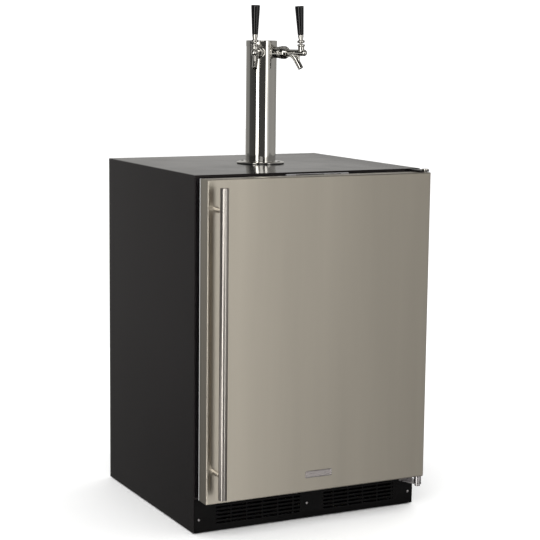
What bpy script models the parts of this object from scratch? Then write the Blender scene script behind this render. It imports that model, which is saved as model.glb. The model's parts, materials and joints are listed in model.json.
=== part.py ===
"""Two-tap keg refrigerator: a cabinet with a side-hinged door and a beer tower with two faucets.

Metres, +Z up, +X to the right of someone who faces the door, +Y towards the back. The origin is
on the floor under the middle of the bounding box. Every piece hangs below an empty in the
cabinet's front plane, so y = 0 in this script is the front edge of the cabinet.
"""

import math

import bmesh
import bpy
from mathutils import Matrix, Vector

# Driving dimensions
GAP = 0.0003                      # kept between pieces that touch
CABINET_WIDTH = 0.606
CABINET_HEIGHT = 0.852
CABINET_DEPTH = 0.543
SHEET = 0.001                     # folded steel sheet
SIDE_BOTTOM = 0.003               # lower edge of the side sheets
BASE_Z = 0.012                    # underside of the base pan
KICK_TOP = 0.0842                 # top of the kick grille
FOAM_BOTTOM = 0.0925

DOOR_LEFT = -0.296
DOOR_RIGHT = 0.300
DOOR_BOTTOM = 0.086
DOOR_TOP = 0.846
DOOR_FRONT = -0.0558
DOOR_BACK = -0.0123
DOOR_SHEET = 0.0012
HINGE_X = 0.2915
HINGE_Y = -0.042
HINGE_PIN_RADIUS = 0.004
HINGE_COLLAR_RADIUS = 0.009

HANDLE_X = -0.2725
HANDLE_Y = -0.0955
HANDLE_RADIUS = 0.0100
HANDLE_BOTTOM = 0.107
HANDLE_TOP = 0.830
STANDOFF_RADIUS = 0.0070
STANDOFF_HEIGHTS = {"lower": 0.163, "upper": 0.778}

LINER_HALF_WIDTH = 0.255
LINER_FLOOR = 0.1205
LINER_CEILING = 0.8035
LINER_BACK = 0.490
LINER_WALL = 0.002
STEP_Y = 0.392                    # front of the step over the compressor
STEP_Z = 0.250                    # top of the step
BAY_Y = 0.430                     # front of the compressor bay
BAY_TOP = 0.212
REAR_Y = 0.5400                   # inner face of the rear panels

TOWER_Y = CABINET_DEPTH / 2
TOWER_RADIUS = 0.0381
TOWER_WALL = 0.0012
TOWER_TOP = 1.1585
CAP_SKIRT = 0.015
LINE_HOLE_RADIUS = 0.025

TAP_ANGLE = math.radians(35)      # of each faucet from straight ahead
TAP_Z = 1.1293                    # height of the faucet bores
TAP_PIVOT_OUT = 0.111             # lever pivot, from the tower's axis
TAP_PIVOT_Z = 1.1478
TAP_LEAN = math.radians(4)        # lever at rest, back towards the tower
LEVER_ARM = 0.0158                # from the pivot down to the plunger's notch

HANDLE_REACH = -(HANDLE_Y - HANDLE_RADIUS)
FRONT_Y = -(CABINET_DEPTH - HANDLE_REACH) / 2
HALF_WIDTH = CABINET_WIDTH / 2
INSIDE = HALF_WIDTH - SHEET - GAP  # half width left between the side sheets
SMOOTH_ANGLE = math.radians(40)    # faces that meet at less are shaded smooth


def empty_scene():
    for thing in list(bpy.data.objects):
        bpy.data.objects.remove(thing)


empty_scene()
parts = bpy.data.collections.new("kegerator")
cutters = bpy.data.collections.new("kegerator_cutters")
bpy.context.scene.collection.children.link(parts)
bpy.context.scene.collection.children.link(cutters)


# Helpers -------------------------------------------------------------------------------------

def finish(name, colour, roughness, metallic):
    """A Principled material."""
    material = bpy.data.materials.new(name)
    material.use_nodes = True
    shader = material.node_tree.nodes["Principled BSDF"]
    shader.inputs["Base Color"].default_value = (*colour, 1.0)
    shader.inputs["Roughness"].default_value = roughness
    shader.inputs["Metallic"].default_value = metallic
    return material


FINISHES = {
    "black_steel": ((0.030, 0.029, 0.031), 0.35, 0.0),
    "stainless": ((0.56, 0.53, 0.48), 0.32, 1.0),
    "chrome": ((0.80, 0.79, 0.77), 0.08, 1.0),
    "zinc": ((0.55, 0.54, 0.53), 0.35, 1.0),
    "galvanised": ((0.48, 0.49, 0.50), 0.45, 1.0),
    "black_plastic": ((0.020, 0.020, 0.022), 0.45, 0.0),
    "gloss_black": ((0.012, 0.012, 0.013), 0.12, 0.0),
    "grey_plastic": ((0.55, 0.55, 0.56), 0.45, 0.0),
    "white_plastic": ((0.80, 0.80, 0.79), 0.40, 0.0),
    "clear_plastic": ((0.82, 0.84, 0.85), 0.15, 0.0),
    "rubber": ((0.025, 0.025, 0.027), 0.75, 0.0),
    "foam": ((0.72, 0.62, 0.38), 0.90, 0.0),
    "compressor_black": ((0.022, 0.022, 0.024), 0.30, 0.0),
}


def add(name, data, surface, parent, location=(0, 0, 0), rotation=(0, 0, 0)):
    """A named piece of the refrigerator, with a material of its own."""
    thing = bpy.data.objects.new(name, data)
    parts.objects.link(thing)
    thing.parent = parent
    thing.location = location
    thing.rotation_euler = rotation
    data.materials.clear()
    data.materials.append(finish(name, *FINISHES[surface]))
    return thing


def add_tool(name, data, parent, location=(0, 0, 0), rotation=(0, 0, 0)):
    """A hidden shape that cuts or joins a piece."""
    thing = bpy.data.objects.new(name, data)
    cutters.objects.link(thing)
    thing.parent = parent
    thing.location = location
    thing.rotation_euler = rotation
    thing.hide_render = True
    thing.display_type = "WIRE"
    return thing


def add_empty(name, parent, location, rotation=(0, 0, 0)):
    thing = bpy.data.objects.new(name, None)
    parts.objects.link(thing)
    thing.parent = parent
    thing.location = location
    thing.rotation_euler = rotation
    return thing


def boolean(target, tool, operation):
    modifier = target.modifiers.new(operation.lower(), "BOOLEAN")
    modifier.operation = operation
    modifier.object = tool


def cut(target, *tools):
    for tool in tools:
        boolean(target, tool, "DIFFERENCE")


def join(target, *tools):
    for tool in tools:
        boolean(target, tool, "UNION")


def bevel(thing, width, segments=2):
    modifier = thing.modifiers.new("bevel", "BEVEL")
    modifier.width = width
    modifier.segments = segments
    modifier.limit_method = "ANGLE"
    modifier.angle_limit = SMOOTH_ANGLE


def thicken(thing, thickness):
    """Give an open surface a wall on its inner side."""
    modifier = thing.modifiers.new("wall", "SOLIDIFY")
    modifier.thickness = thickness
    modifier.offset = -1
    modifier.use_even_offset = True


def attach(thing, pivot):
    """Hang a piece below an unrotated pivot without moving it."""
    thing.parent = pivot
    thing.location = thing.location - pivot.location


def boxes_mesh(name, boxes):
    """One mesh of separate boxes, each ((x, x), (y, y), (z, z))."""
    mesh = bpy.data.meshes.new(name)
    builder = bmesh.new()
    for spans in boxes:
        centre = Vector([(low + high) / 2 for low, high in spans])
        size = Vector([high - low for low, high in spans])
        corners = bmesh.ops.create_cube(builder, size=1.0)["verts"]
        bmesh.ops.scale(builder, vec=size, verts=corners)
        bmesh.ops.translate(builder, vec=centre, verts=corners)
    builder.to_mesh(mesh)
    builder.free()
    return mesh


def block(name, x, y, z, surface, parent):
    """A box piece with its origin at its centre."""
    centre = Vector([(low + high) / 2 for low, high in (x, y, z)])
    half = [(high - low) / 2 for low, high in (x, y, z)]
    mesh = boxes_mesh(name, [[(-size, size) for size in half]])
    return add(name, mesh, surface, parent, centre)


def block_tool(name, parent, *boxes):
    return add_tool(name, boxes_mesh(name, boxes), parent)


def open_box_mesh(name, x, y, z, open_side):
    """A box without the face whose outward normal is open_side."""
    mesh = boxes_mesh(name, [(x, y, z)])
    builder = bmesh.new()
    builder.from_mesh(mesh)
    direction = Vector(open_side)
    gone = [face for face in builder.faces if face.normal.dot(direction) > 0.9]
    bmesh.ops.delete(builder, geom=gone, context="FACES")
    builder.to_mesh(mesh)
    builder.free()
    return mesh


def profile_mesh(name, profile, closed):
    """The edges of a profile in the XZ plane, given as (radius, height)."""
    mesh = bpy.data.meshes.new(name)
    builder = bmesh.new()
    points = [builder.verts.new((radius, 0, height)) for radius, height in profile]
    for start, end in zip(points, points[1:]):
        builder.edges.new((start, end))
    if closed:
        builder.edges.new((points[-1], points[0]))
    builder.to_mesh(mesh)
    builder.free()
    return mesh


def evaluated_mesh(scratch):
    """The mesh that a scratch object evaluates to. The scratch object is removed."""
    cutters.objects.link(scratch)
    bpy.context.view_layer.update()
    graph = bpy.context.evaluated_depsgraph_get()
    mesh = bpy.data.meshes.new_from_object(scratch.evaluated_get(graph))
    bpy.data.objects.remove(scratch)
    return mesh


def smooth(mesh, name):
    """Name a round piece's mesh and shade it smooth between its sharp edges."""
    mesh.name = name
    mesh.shade_smooth()
    mesh.set_sharp_from_angle(angle=SMOOTH_ANGLE)
    return mesh


def turned_mesh(name, profile, steps):
    """A profile spun around Z. It runs down the outer side and, on a ring, back up the bore."""
    closed = profile[0][0] > 0
    scratch = bpy.data.objects.new(name, profile_mesh(name, profile, closed))
    spin = scratch.modifiers.new("spin", "SCREW")
    spin.steps = steps
    spin.render_steps = steps
    spin.use_merge_vertices = True
    spin.merge_threshold = 0.00001
    return smooth(evaluated_mesh(scratch), name)


def turned(name, profile, surface, parent, location=(0, 0, 0), rotation=(0, 0, 0), steps=24):
    return add(name, turned_mesh(name, profile, steps), surface, parent, location, rotation)


def turned_tool(name, profile, parent, location=(0, 0, 0), rotation=(0, 0, 0), steps=24):
    return add_tool(name, turned_mesh(name, profile, steps), parent, location, rotation)


def rod(radius, low, high):
    """Profile of a plain cylinder."""
    return [(0, high), (radius, high), (radius, low), (0, low)]


def ring(outer, inner, low, high):
    """Profile of a plain tube."""
    return [(outer, high), (outer, low), (inner, low), (inner, high)]


def arc(centre, radius, start, end, count):
    """Points (radius, height) on a circle in the profile plane, angles in degrees from +X."""
    angles = [math.radians(start + (end - start) * i / count) for i in range(count + 1)]
    return [(centre[0] + radius * math.cos(a), centre[1] + radius * math.sin(a)) for a in angles]


def curve_to_mesh(name, curve):
    """The welded mesh of a curve."""
    mesh = evaluated_mesh(bpy.data.objects.new(name, curve))
    builder = bmesh.new()
    builder.from_mesh(mesh)
    bmesh.ops.remove_doubles(builder, verts=builder.verts, dist=0.00001)
    bmesh.ops.recalc_face_normals(builder, faces=builder.faces)
    builder.to_mesh(mesh)
    builder.free()
    return smooth(mesh, name)


def tube_mesh(name, points, radius):
    """A round tube along points."""
    curve = bpy.data.curves.new(name, "CURVE")
    curve.dimensions = "3D"
    curve.bevel_depth = radius
    curve.bevel_resolution = 2
    curve.use_fill_caps = True
    spline = curve.splines.new("POLY")
    spline.points.add(len(points) - 1)
    for slot, point in zip(spline.points, points):
        slot.co = (*point, 1)
    return curve_to_mesh(name, curve)


def outline_mesh(name, outline, thickness):
    """A flat plate of an outline in XY, centred on z = 0."""
    curve = bpy.data.curves.new(name, "CURVE")
    curve.dimensions = "2D"
    curve.fill_mode = "BOTH"
    curve.extrude = thickness / 2
    spline = curve.splines.new("POLY")
    spline.points.add(len(outline) - 1)
    for slot, point in zip(spline.points, outline):
        slot.co = (point[0], point[1], 0, 1)
    spline.use_cyclic_u = True
    return curve_to_mesh(name, curve)


def smooth_curve(knots, steps):
    """Points on a Catmull-Rom curve through the knots."""
    knots = [Vector(knot) for knot in knots]
    before = knots[0] * 2 - knots[1]
    after = knots[-1] * 2 - knots[-2]
    row = [before, *knots, after]
    points = []
    for a, b, c, d in zip(row, row[1:], row[2:], row[3:]):
        for i in range(steps):
            t = i / steps
            points.append(0.5 * (2 * b + (c - a) * t + (2 * a - 5 * b + 4 * c - d) * t ** 2
                                 + (3 * b - a - 3 * c + d) * t ** 3))
    points.append(knots[-1])
    return points


def rounded_rectangle(width, height, radius, steps=4):
    points = []
    for turn, (sx, sy) in enumerate([(1, 1), (-1, 1), (-1, -1), (1, -1)]):
        centre = (sx * (width / 2 - radius), sy * (height / 2 - radius))
        points += arc(centre, radius, 90 * turn, 90 * turn + 90, steps)
    return points


# Rotations that lay the axis of a turned piece along +Y or +X
ALONG_Y = (-math.pi / 2, 0, 0)
ALONG_X = (0, math.pi / 2, 0)

cabinet = add_empty("cabinet_front_plane", None, (0, FRONT_Y, 0))


# Cabinet -------------------------------------------------------------------------------------

FOOT_X = 0.262
FOOT_Y = {"front": 0.045, "rear": 0.500}
FOOT_STEM_RADIUS = 0.004
KICK_SCREWS = {"left": (-0.2895, 0.034), "centre": (0.0, 0.040), "right": (0.2895, 0.034)}
KICK_THICKNESS = 0.0025
VENT_PITCH = 0.0094
VENT_HEIGHT = 0.0050
FRAME_DEPTH = 0.012
REAR_SHEET = 0.0012


def line_hole(name, low, high, radius=LINE_HOLE_RADIUS):
    """Cutter for the beer line hole under the tower."""
    return turned_tool(name, rod(radius, low, high), cabinet, (0, TOWER_Y, 0))


def make_wrapper():
    """The folded sheet of the two sides and the top."""
    mesh = open_box_mesh("cabinet_wrapper", (-HALF_WIDTH, HALF_WIDTH), (0, CABINET_DEPTH),
                         (SIDE_BOTTOM, CABINET_HEIGHT), (0, 0, -1))
    builder = bmesh.new()
    builder.from_mesh(mesh)
    ends = [face for face in builder.faces if abs(face.normal.y) > 0.9]
    bmesh.ops.delete(builder, geom=ends, context="FACES")
    builder.to_mesh(mesh)
    builder.free()
    wrapper = add("cabinet_wrapper", mesh, "black_steel", cabinet)
    bevel(wrapper, 0.0012)
    thicken(wrapper, SHEET)
    cut(wrapper, line_hole("wrapper_line_hole", CABINET_HEIGHT - 0.01, CABINET_HEIGHT + 0.01))
    holes = [(0.0485 * math.cos(a), 0.0485 * math.sin(a)) for a in TOWER_BOLT_ANGLES]
    for number, (x, y) in enumerate(holes):
        cut(wrapper, turned_tool(f"wrapper_bolt_hole_{number}",
                                 rod(0.0025, CABINET_HEIGHT - 0.01, CABINET_HEIGHT + 0.01),
                                 cabinet, (x, TOWER_Y + y, 0), steps=8))


def make_front_frame():
    """The flat rim around the cabinet's mouth."""
    frame = block("front_frame", (-INSIDE, INSIDE), (0, FRAME_DEPTH),
                  (KICK_TOP + GAP, CABINET_HEIGHT - SHEET - GAP), "black_steel", cabinet)
    mouth = (-LINER_HALF_WIDTH - 0.003, LINER_HALF_WIDTH + 0.003)
    cut(frame, block_tool("frame_mouth", cabinet, (mouth, (-0.01, 0.03),
                                                   (LINER_FLOOR - 0.0025, LINER_CEILING + 0.0025))))


def liner_outline(front, grow):
    """Side view (y, z) of the liner's inner face, moved outwards by grow."""
    floor = LINER_FLOOR - grow
    return [(front, floor), (STEP_Y - 0.002 + grow, floor),
            (STEP_Y - 0.002 + grow, STEP_Z - grow), (LINER_BACK + grow, STEP_Z - grow),
            (LINER_BACK + grow, LINER_CEILING + grow), (front, LINER_CEILING + grow)]


def liner_mesh(name, front, grow):
    """The liner's outline as a solid, its outline in the YZ plane once it is stood up."""
    return outline_mesh(name, liner_outline(front, grow), 2 * (LINER_HALF_WIDTH + grow))


# Turns an outline drawn in XY so that its x runs along Y and its y runs along Z
OUTLINE_IN_YZ = (math.pi / 2, 0, math.pi / 2)


def make_liner():
    """The moulded tub that the kegs stand in, open at the front, with a step at the back."""
    front = FRAME_DEPTH + GAP
    liner = add("inner_liner", liner_mesh("inner_liner", front, LINER_WALL), "white_plastic",
                cabinet, rotation=OUTLINE_IN_YZ)
    cut(liner, add_tool("liner_inside", liner_mesh("liner_inside", front - 0.02, 0), cabinet,
                        rotation=OUTLINE_IN_YZ))
    cut(liner, line_hole("liner_line_hole", LINER_CEILING - 0.01, LINER_CEILING + 0.01))


def make_insulation():
    """Foam between the outer sheets and the liner."""
    foam = block("insulation_foam", (-INSIDE, INSIDE), (FRAME_DEPTH + 2 * GAP, REAR_Y - GAP),
                 (FOAM_BOTTOM, CABINET_HEIGHT - SHEET - GAP), "foam", cabinet)
    bevel(foam, 0.002, 1)
    shape = liner_mesh("foam_liner_room", 0, LINER_WALL + GAP)
    cut(foam, add_tool("foam_liner_room", shape, cabinet, rotation=OUTLINE_IN_YZ))
    cut(foam, block_tool("foam_compressor_bay", cabinet,
                         ((-0.4, 0.4), (BAY_Y, 0.6), (FOAM_BOTTOM - 0.01, BAY_TOP))))
    cut(foam, line_hole("foam_line_hole", LINER_CEILING - 0.01, CABINET_HEIGHT + 0.01,
                        LINE_HOLE_RADIUS + GAP))


def make_rear():
    """Upper rear panel, and the slotted cover of the compressor bay below it."""
    block("rear_panel", (-INSIDE, INSIDE), (REAR_Y, REAR_Y + REAR_SHEET),
          (BAY_TOP + 0.0005, CABINET_HEIGHT - SHEET - GAP), "black_steel", cabinet)
    cover = block("compressor_cover", (-INSIDE, INSIDE), (REAR_Y, REAR_Y + REAR_SHEET),
                  (BASE_Z + 0.002, BAY_TOP), "black_steel", cabinet)
    slots = []
    for column in range(3):
        middle = -0.17 + column * 0.14
        for row in range(7):
            bottom = 0.095 + row * 0.015
            slots.append(((middle - 0.06, middle + 0.06), (REAR_Y - 0.01, REAR_Y + 0.01),
                          (bottom, bottom + 0.005)))
    cut(cover, block_tool("cover_slots", cabinet, *slots))
    cut(cover, block_tool("cover_inlet_hole", cabinet,
                          ((0.2035, 0.2365), (REAR_Y - 0.01, REAR_Y + 0.01), (0.0435, 0.0705))))


def make_power_inlet():
    """Appliance inlet with three blades, set in the rear cover."""
    back = REAR_Y + REAR_SHEET
    inlet = block("power_inlet", (0.204, 0.236), (back - 0.024, back + GAP + 0.0008),
                  (0.044, 0.070), "black_plastic", cabinet)
    join(inlet, block_tool("inlet_flange", cabinet,
                           ((0.198, 0.242), (back + GAP, back + GAP + 0.0013), (0.040, 0.074))))
    cut(inlet, block_tool("inlet_socket", cabinet,
                          ((0.2065, 0.2335), (back - 0.016, back + 0.01), (0.0465, 0.0675))))
    blades = [((x - 0.001, x + 0.001), (back - 0.0175, back - 0.003), (z - 0.002, z + 0.002))
              for x, z in ((0.213, 0.054), (0.220, 0.060), (0.227, 0.054))]
    join(inlet, block_tool("inlet_blades", cabinet, *blades))


def make_base_pan():
    """Sheet that carries the machinery and the feet, with tabs for the kick grille's screws."""
    front = KICK_THICKNESS + GAP
    pan = block("base_pan", (-INSIDE, INSIDE), (front, REAR_Y - GAP), (BASE_Z, BASE_Z + 0.0015),
                "galvanised", cabinet)
    tabs = [((x - 0.008, x + 0.008), (front, front + 0.0015), (BASE_Z + 0.0005, 0.050))
            for x, _ in KICK_SCREWS.values()]
    join(pan, block_tool("pan_tabs", cabinet, *tabs))
    for name, (x, z) in KICK_SCREWS.items():
        cut(pan, turned_tool(f"pan_screw_hole_{name}", rod(0.0020, -0.02, 0.02), cabinet,
                             (x, front, z), ALONG_Y, 12))
    for end, y in FOOT_Y.items():
        for side in (-1, 1):
            cut(pan, turned_tool(f"pan_foot_hole_{end}_{side}",
                                 rod(FOOT_STEM_RADIUS + GAP, 0, 0.03), cabinet,
                                 (side * FOOT_X, y, 0), steps=16))


def bank_of_vents(start, end, first_rib):
    """Slots of one louvre bank: columns between thin ribs, in even rows."""
    rib = 0.0030
    rib_pitch = 0.0836
    ribs = []
    position = first_rib
    while position < end - rib:
        ribs.append(position)
        position += rib_pitch
    edges = [start, *[edge for x in ribs for edge in (x - rib / 2, x + rib / 2)], end]
    columns = list(zip(edges[0::2], edges[1::2]))
    rows = [0.0189 + row * VENT_PITCH for row in range(7)]
    return [(column, (-0.01, 0.01), (low, low + VENT_HEIGHT)) for column in columns for low in rows]


def make_kick_grille():
    grille = block("kick_grille", (-INSIDE, INSIDE), (0, KICK_THICKNESS), (SIDE_BOTTOM, KICK_TOP),
                   "black_plastic", cabinet)
    left = bank_of_vents(-0.244, -0.018, -0.1630)
    right = bank_of_vents(0.0465, 0.246, 0.1163)
    cut(grille, block_tool("grille_slots", cabinet, *left, *right))
    for name, (x, z) in KICK_SCREWS.items():
        cut(grille, turned_tool(f"grille_screw_hole_{name}", rod(0.0020, -0.02, 0.02), cabinet,
                                (x, 0, z), ALONG_Y, 12))
        head = [(0, -0.0022), (0.0022, -0.0020), (0.0038, -0.0009), (0.0040, -GAP),
                (0.0017, -GAP), (0.0017, 0.0090), (0.0008, 0.0110), (0, 0.0110)]
        turned(f"kick_screw_{name}", head[::-1], "zinc", cabinet, (x, 0, z), ALONG_Y, 12)


def make_feet():
    """Levelling feet, screwed fully in."""
    profile = [(0, 0.0380), (FOOT_STEM_RADIUS, 0.0380), (FOOT_STEM_RADIUS, 0.0085),
               (0.0080, 0.0085), (0.0170, 0.0060), (0.0180, 0.0040), (0.0180, 0), (0, 0)]
    for end, y in FOOT_Y.items():
        for side, label in ((-1, "left"), (1, "right")):
            pivot = add_empty(f"foot_axis_{end}_{label}", cabinet, (side * FOOT_X, y, 0))
            turned(f"foot_{end}_{label}", profile, "black_plastic", pivot, steps=20)


def make_interior():
    """Keg plate, lamp and evaporator cover inside the liner."""
    plate = block("keg_floor_plate", (-0.240, 0.240), (0.030, STEP_Y - 0.006),
                  (LINER_FLOOR + GAP, LINER_FLOOR + GAP + 0.0015), "galvanised", cabinet)
    bevel(plate, 0.0005, 1)
    lamp = block("interior_light", (-0.030, 0.030), (0.030, 0.060),
                 (LINER_CEILING - GAP - 0.009, LINER_CEILING - GAP), "clear_plastic", cabinet)
    bevel(lamp, 0.002)


# Control panel on the cabinet's top rail -------------------------------------------------------

PANEL_LEFT = -0.070
PANEL_RIGHT = 0.097
PANEL_FRONT = -0.0088
PANEL_BOTTOM = 0.8315
PANEL_TOP = 0.8505
BUTTONS = {"colder": 0.052, "warmer": 0.070}
BUTTON_HALF = 0.0050
BUTTON_TRAVEL = 0.0010


def make_control_panel():
    middle = (PANEL_BOTTOM + PANEL_TOP) / 2
    panel = block("control_panel", (PANEL_LEFT, PANEL_RIGHT), (PANEL_FRONT, -GAP),
                  (PANEL_BOTTOM, PANEL_TOP), "grey_plastic", cabinet)
    bevel(panel, 0.0008, 1)
    window = ((-0.046, 0.030), (middle - 0.0060, middle + 0.0060))
    cut(panel, block_tool("window_recess", cabinet,
                          (window[0], (PANEL_FRONT - 0.01, PANEL_FRONT + 0.0018), window[1])))
    block("display_window", (window[0][0] + GAP, window[0][1] - GAP),
          (PANEL_FRONT, PANEL_FRONT + 0.0015), (window[1][0] + GAP, window[1][1] - GAP),
          "gloss_black", cabinet)
    for name, x in BUTTONS.items():
        room = BUTTON_HALF + GAP
        cut(panel, block_tool(f"button_well_{name}", cabinet,
                              ((x - room, x + room), (PANEL_FRONT - 0.01, -0.0030),
                               (middle - room, middle + room))))
        pivot = add_empty(f"button_axis_{name}", cabinet, (x, PANEL_FRONT, middle))
        cap = block(f"button_{name}", (-BUTTON_HALF, BUTTON_HALF), (-0.0012, 0.0045),
                    (-BUTTON_HALF, BUTTON_HALF), "black_plastic", pivot)
        bevel(cap, 0.0006, 1)


# Cooling ---------------------------------------------------------------------------------------

CONDENSER_X = (0.020, 0.135)
CONDENSER_Z = (0.020, 0.195)
CONDENSER_Y = (0.438, 0.533)
FAN_X = 0.150                     # front of the condenser fan's blades
FAN_Y = sum(CONDENSER_Y) / 2
FAN_Z = 0.110
EVAPORATOR_Y = (0.448, LINER_BACK - GAP)
EVAPORATOR_FAN_Z = 0.705
EVAPORATOR_FAN_RADIUS = 0.043


def fan_wheel(name, tip, hub, depth, shaft, pivot, rotation, blades=5):
    """A hub with a shaft and pitched blades. Its axis is local Z and the shaft points up."""
    profile = [(0, depth + shaft), (0.0025, depth + shaft), (0.0025, depth), (hub, depth),
               (hub, 0), (0, 0)]
    wheel = turned(name, profile, "black_plastic", pivot, rotation=rotation, steps=20)
    blade = (tip - hub + 0.003, 0.022, 0.0015)
    pitch = Matrix.Rotation(math.radians(25), 4, "X")
    outwards = Matrix.Translation(((tip + hub - 0.003) / 2, 0, depth / 2))
    builder = bmesh.new()
    for number in range(blades):
        around = Matrix.Rotation(2 * math.pi * number / blades, 4, "Z")
        place = around @ outwards @ pitch @ Matrix.Diagonal((*blade, 1))
        bmesh.ops.create_cube(builder, size=1.0, matrix=place)
    mesh = bpy.data.meshes.new(f"{name}_blades")
    builder.to_mesh(mesh)
    builder.free()
    join(wheel, add_tool(f"{name}_blades", mesh, pivot, rotation=rotation))


def make_compressor():
    """Hermetic compressor can on its foot plate."""
    can = [(0, 0.190)] + arc((0.022, 0.165), 0.025, 90, 0, 4) + arc((0.022, 0.055), 0.025, 0, -70, 3)
    place = (-0.170, FAN_Y, 0)
    compressor = turned("compressor", can + [(0, can[-1][1])], "compressor_black", cabinet, place)
    x, y, _ = place
    join(compressor, block_tool("compressor_plate", cabinet,
                                ((x - 0.060, x + 0.060), (y - 0.044, y + 0.044), (0.022, 0.034))))
    base = BASE_Z + 0.0015 + GAP
    for number, (sx, sy) in enumerate([(-1, -1), (1, -1), (1, 1), (-1, 1)]):
        join(compressor, turned_tool(f"compressor_grommet_{number}", rod(0.007, base, 0.023),
                                     cabinet, (x + sx * 0.050, y + sy * 0.034, 0), steps=12))


def make_condenser():
    """Finned condenser block, its air slots running across the cabinet."""
    condenser = block("condenser", CONDENSER_X, CONDENSER_Y, CONDENSER_Z, "galvanised", cabinet)
    pitch = 0.010
    count = int((CONDENSER_Z[1] - CONDENSER_Z[0]) / pitch) - 1
    slots = [((CONDENSER_X[0] - 0.01, CONDENSER_X[1] + 0.01),
              (CONDENSER_Y[0] + 0.005, CONDENSER_Y[1] - 0.005),
              (CONDENSER_Z[0] + pitch * (i + 0.9), CONDENSER_Z[0] + pitch * (i + 1.5)))
             for i in range(count)]
    cut(condenser, block_tool("condenser_slots", cabinet, *slots))
    legs = [((x, x + 0.006), CONDENSER_Y, (BASE_Z + 0.0015 + GAP, CONDENSER_Z[0] + 0.002))
            for x in (CONDENSER_X[0], CONDENSER_X[1] - 0.006)]
    join(condenser, block_tool("condenser_legs", cabinet, *legs))


def make_condenser_fan():
    depth = 0.012
    pivot = add_empty("condenser_fan_axis", cabinet, (FAN_X, FAN_Y, FAN_Z))
    fan_wheel("condenser_fan", 0.042, 0.011, depth, 0.010, pivot, ALONG_X)
    motor_start = FAN_X + depth + 0.002
    profile = [(0.018, 0.032), (0.020, 0.030), (0.020, 0.002), (0.018, 0), (0.0030, 0),
               (0.0030, 0.010), (0, 0.010)]
    solid = [(0, 0.032)] + profile
    motor = turned("condenser_fan_motor", solid, "galvanised", cabinet,
                   (motor_start, FAN_Y, FAN_Z), ALONG_X, 20)
    x = (motor_start + 0.012, motor_start + 0.020)
    join(motor, block_tool("motor_bracket", cabinet,
                           (x, (FAN_Y - 0.010, FAN_Y + 0.010), (BASE_Z + 0.004, FAN_Z - 0.010)),
                           ), block_tool("motor_foot", cabinet,
                                         ((x[0] - 0.010, x[1] + 0.010),
                                          (FAN_Y - 0.020, FAN_Y + 0.020),
                                          (BASE_Z + 0.0015 + GAP, BASE_Z + 0.006))))


def make_evaporator():
    """Cover of the evaporator on the liner's back wall, with a fan on a spider in its mouth."""
    x, z = (-0.190, 0.190), (0.500, 0.780)
    front = EVAPORATOR_Y[0]
    wall = 0.002
    cover = add("evaporator_cover", open_box_mesh("evaporator_cover", x, EVAPORATOR_Y, z, (0, 1, 0)),
                "white_plastic", cabinet)
    bevel(cover, 0.006, 1)
    thicken(cover, wall)
    cut(cover, turned_tool("cover_fan_hole", rod(EVAPORATOR_FAN_RADIUS + 0.003, -0.02, 0.02),
                           cabinet, (0, front, EVAPORATOR_FAN_Z), ALONG_Y))
    slots = [((-0.15, 0.15), (front - 0.01, front + 0.01), (0.520 + i * 0.015, 0.526 + i * 0.015))
             for i in range(6)]
    cut(cover, block_tool("cover_intake_slots", cabinet, *slots))
    reach = EVAPORATOR_FAN_RADIUS + 0.006
    spoke = 0.003
    inside_wall = (front + GAP, front + wall - GAP)
    bar = ((-reach, reach), inside_wall, (EVAPORATOR_FAN_Z - spoke, EVAPORATOR_FAN_Z + spoke))
    post = ((-spoke, spoke), inside_wall, (EVAPORATOR_FAN_Z - reach, EVAPORATOR_FAN_Z + reach))
    boss = [(0, 0.0001), (0.015, 0.0001), (0.017, 0.003), (0.017, 0.014), (0.0030, 0.014),
            (0.0030, 0.004), (0, 0.004)]
    join(cover, turned_tool("spider_boss", boss[::-1], cabinet, (0, front, EVAPORATOR_FAN_Z),
                            ALONG_Y, 20),
         block_tool("spider_bar", cabinet, bar), block_tool("spider_post", cabinet, post))
    depth = 0.010
    pivot = add_empty("evaporator_fan_axis", cabinet, (0, front + 0.016 + depth, EVAPORATOR_FAN_Z))
    turn_back = (math.pi / 2, 0, 0)
    fan_wheel("evaporator_fan", EVAPORATOR_FAN_RADIUS, 0.011, depth, 0.008, pivot, turn_back)


# Door -----------------------------------------------------------------------------------------

PAN_BACK = -0.0153                # rear edge of the steel pan
GASKET_OUTER = 0.284
GASKET_INNER = 0.263


def hinge_cutter(name, radius, low, high):
    return turned_tool(name, rod(radius, low, high), cabinet, (HINGE_X, HINGE_Y, 0), steps=16)


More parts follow.
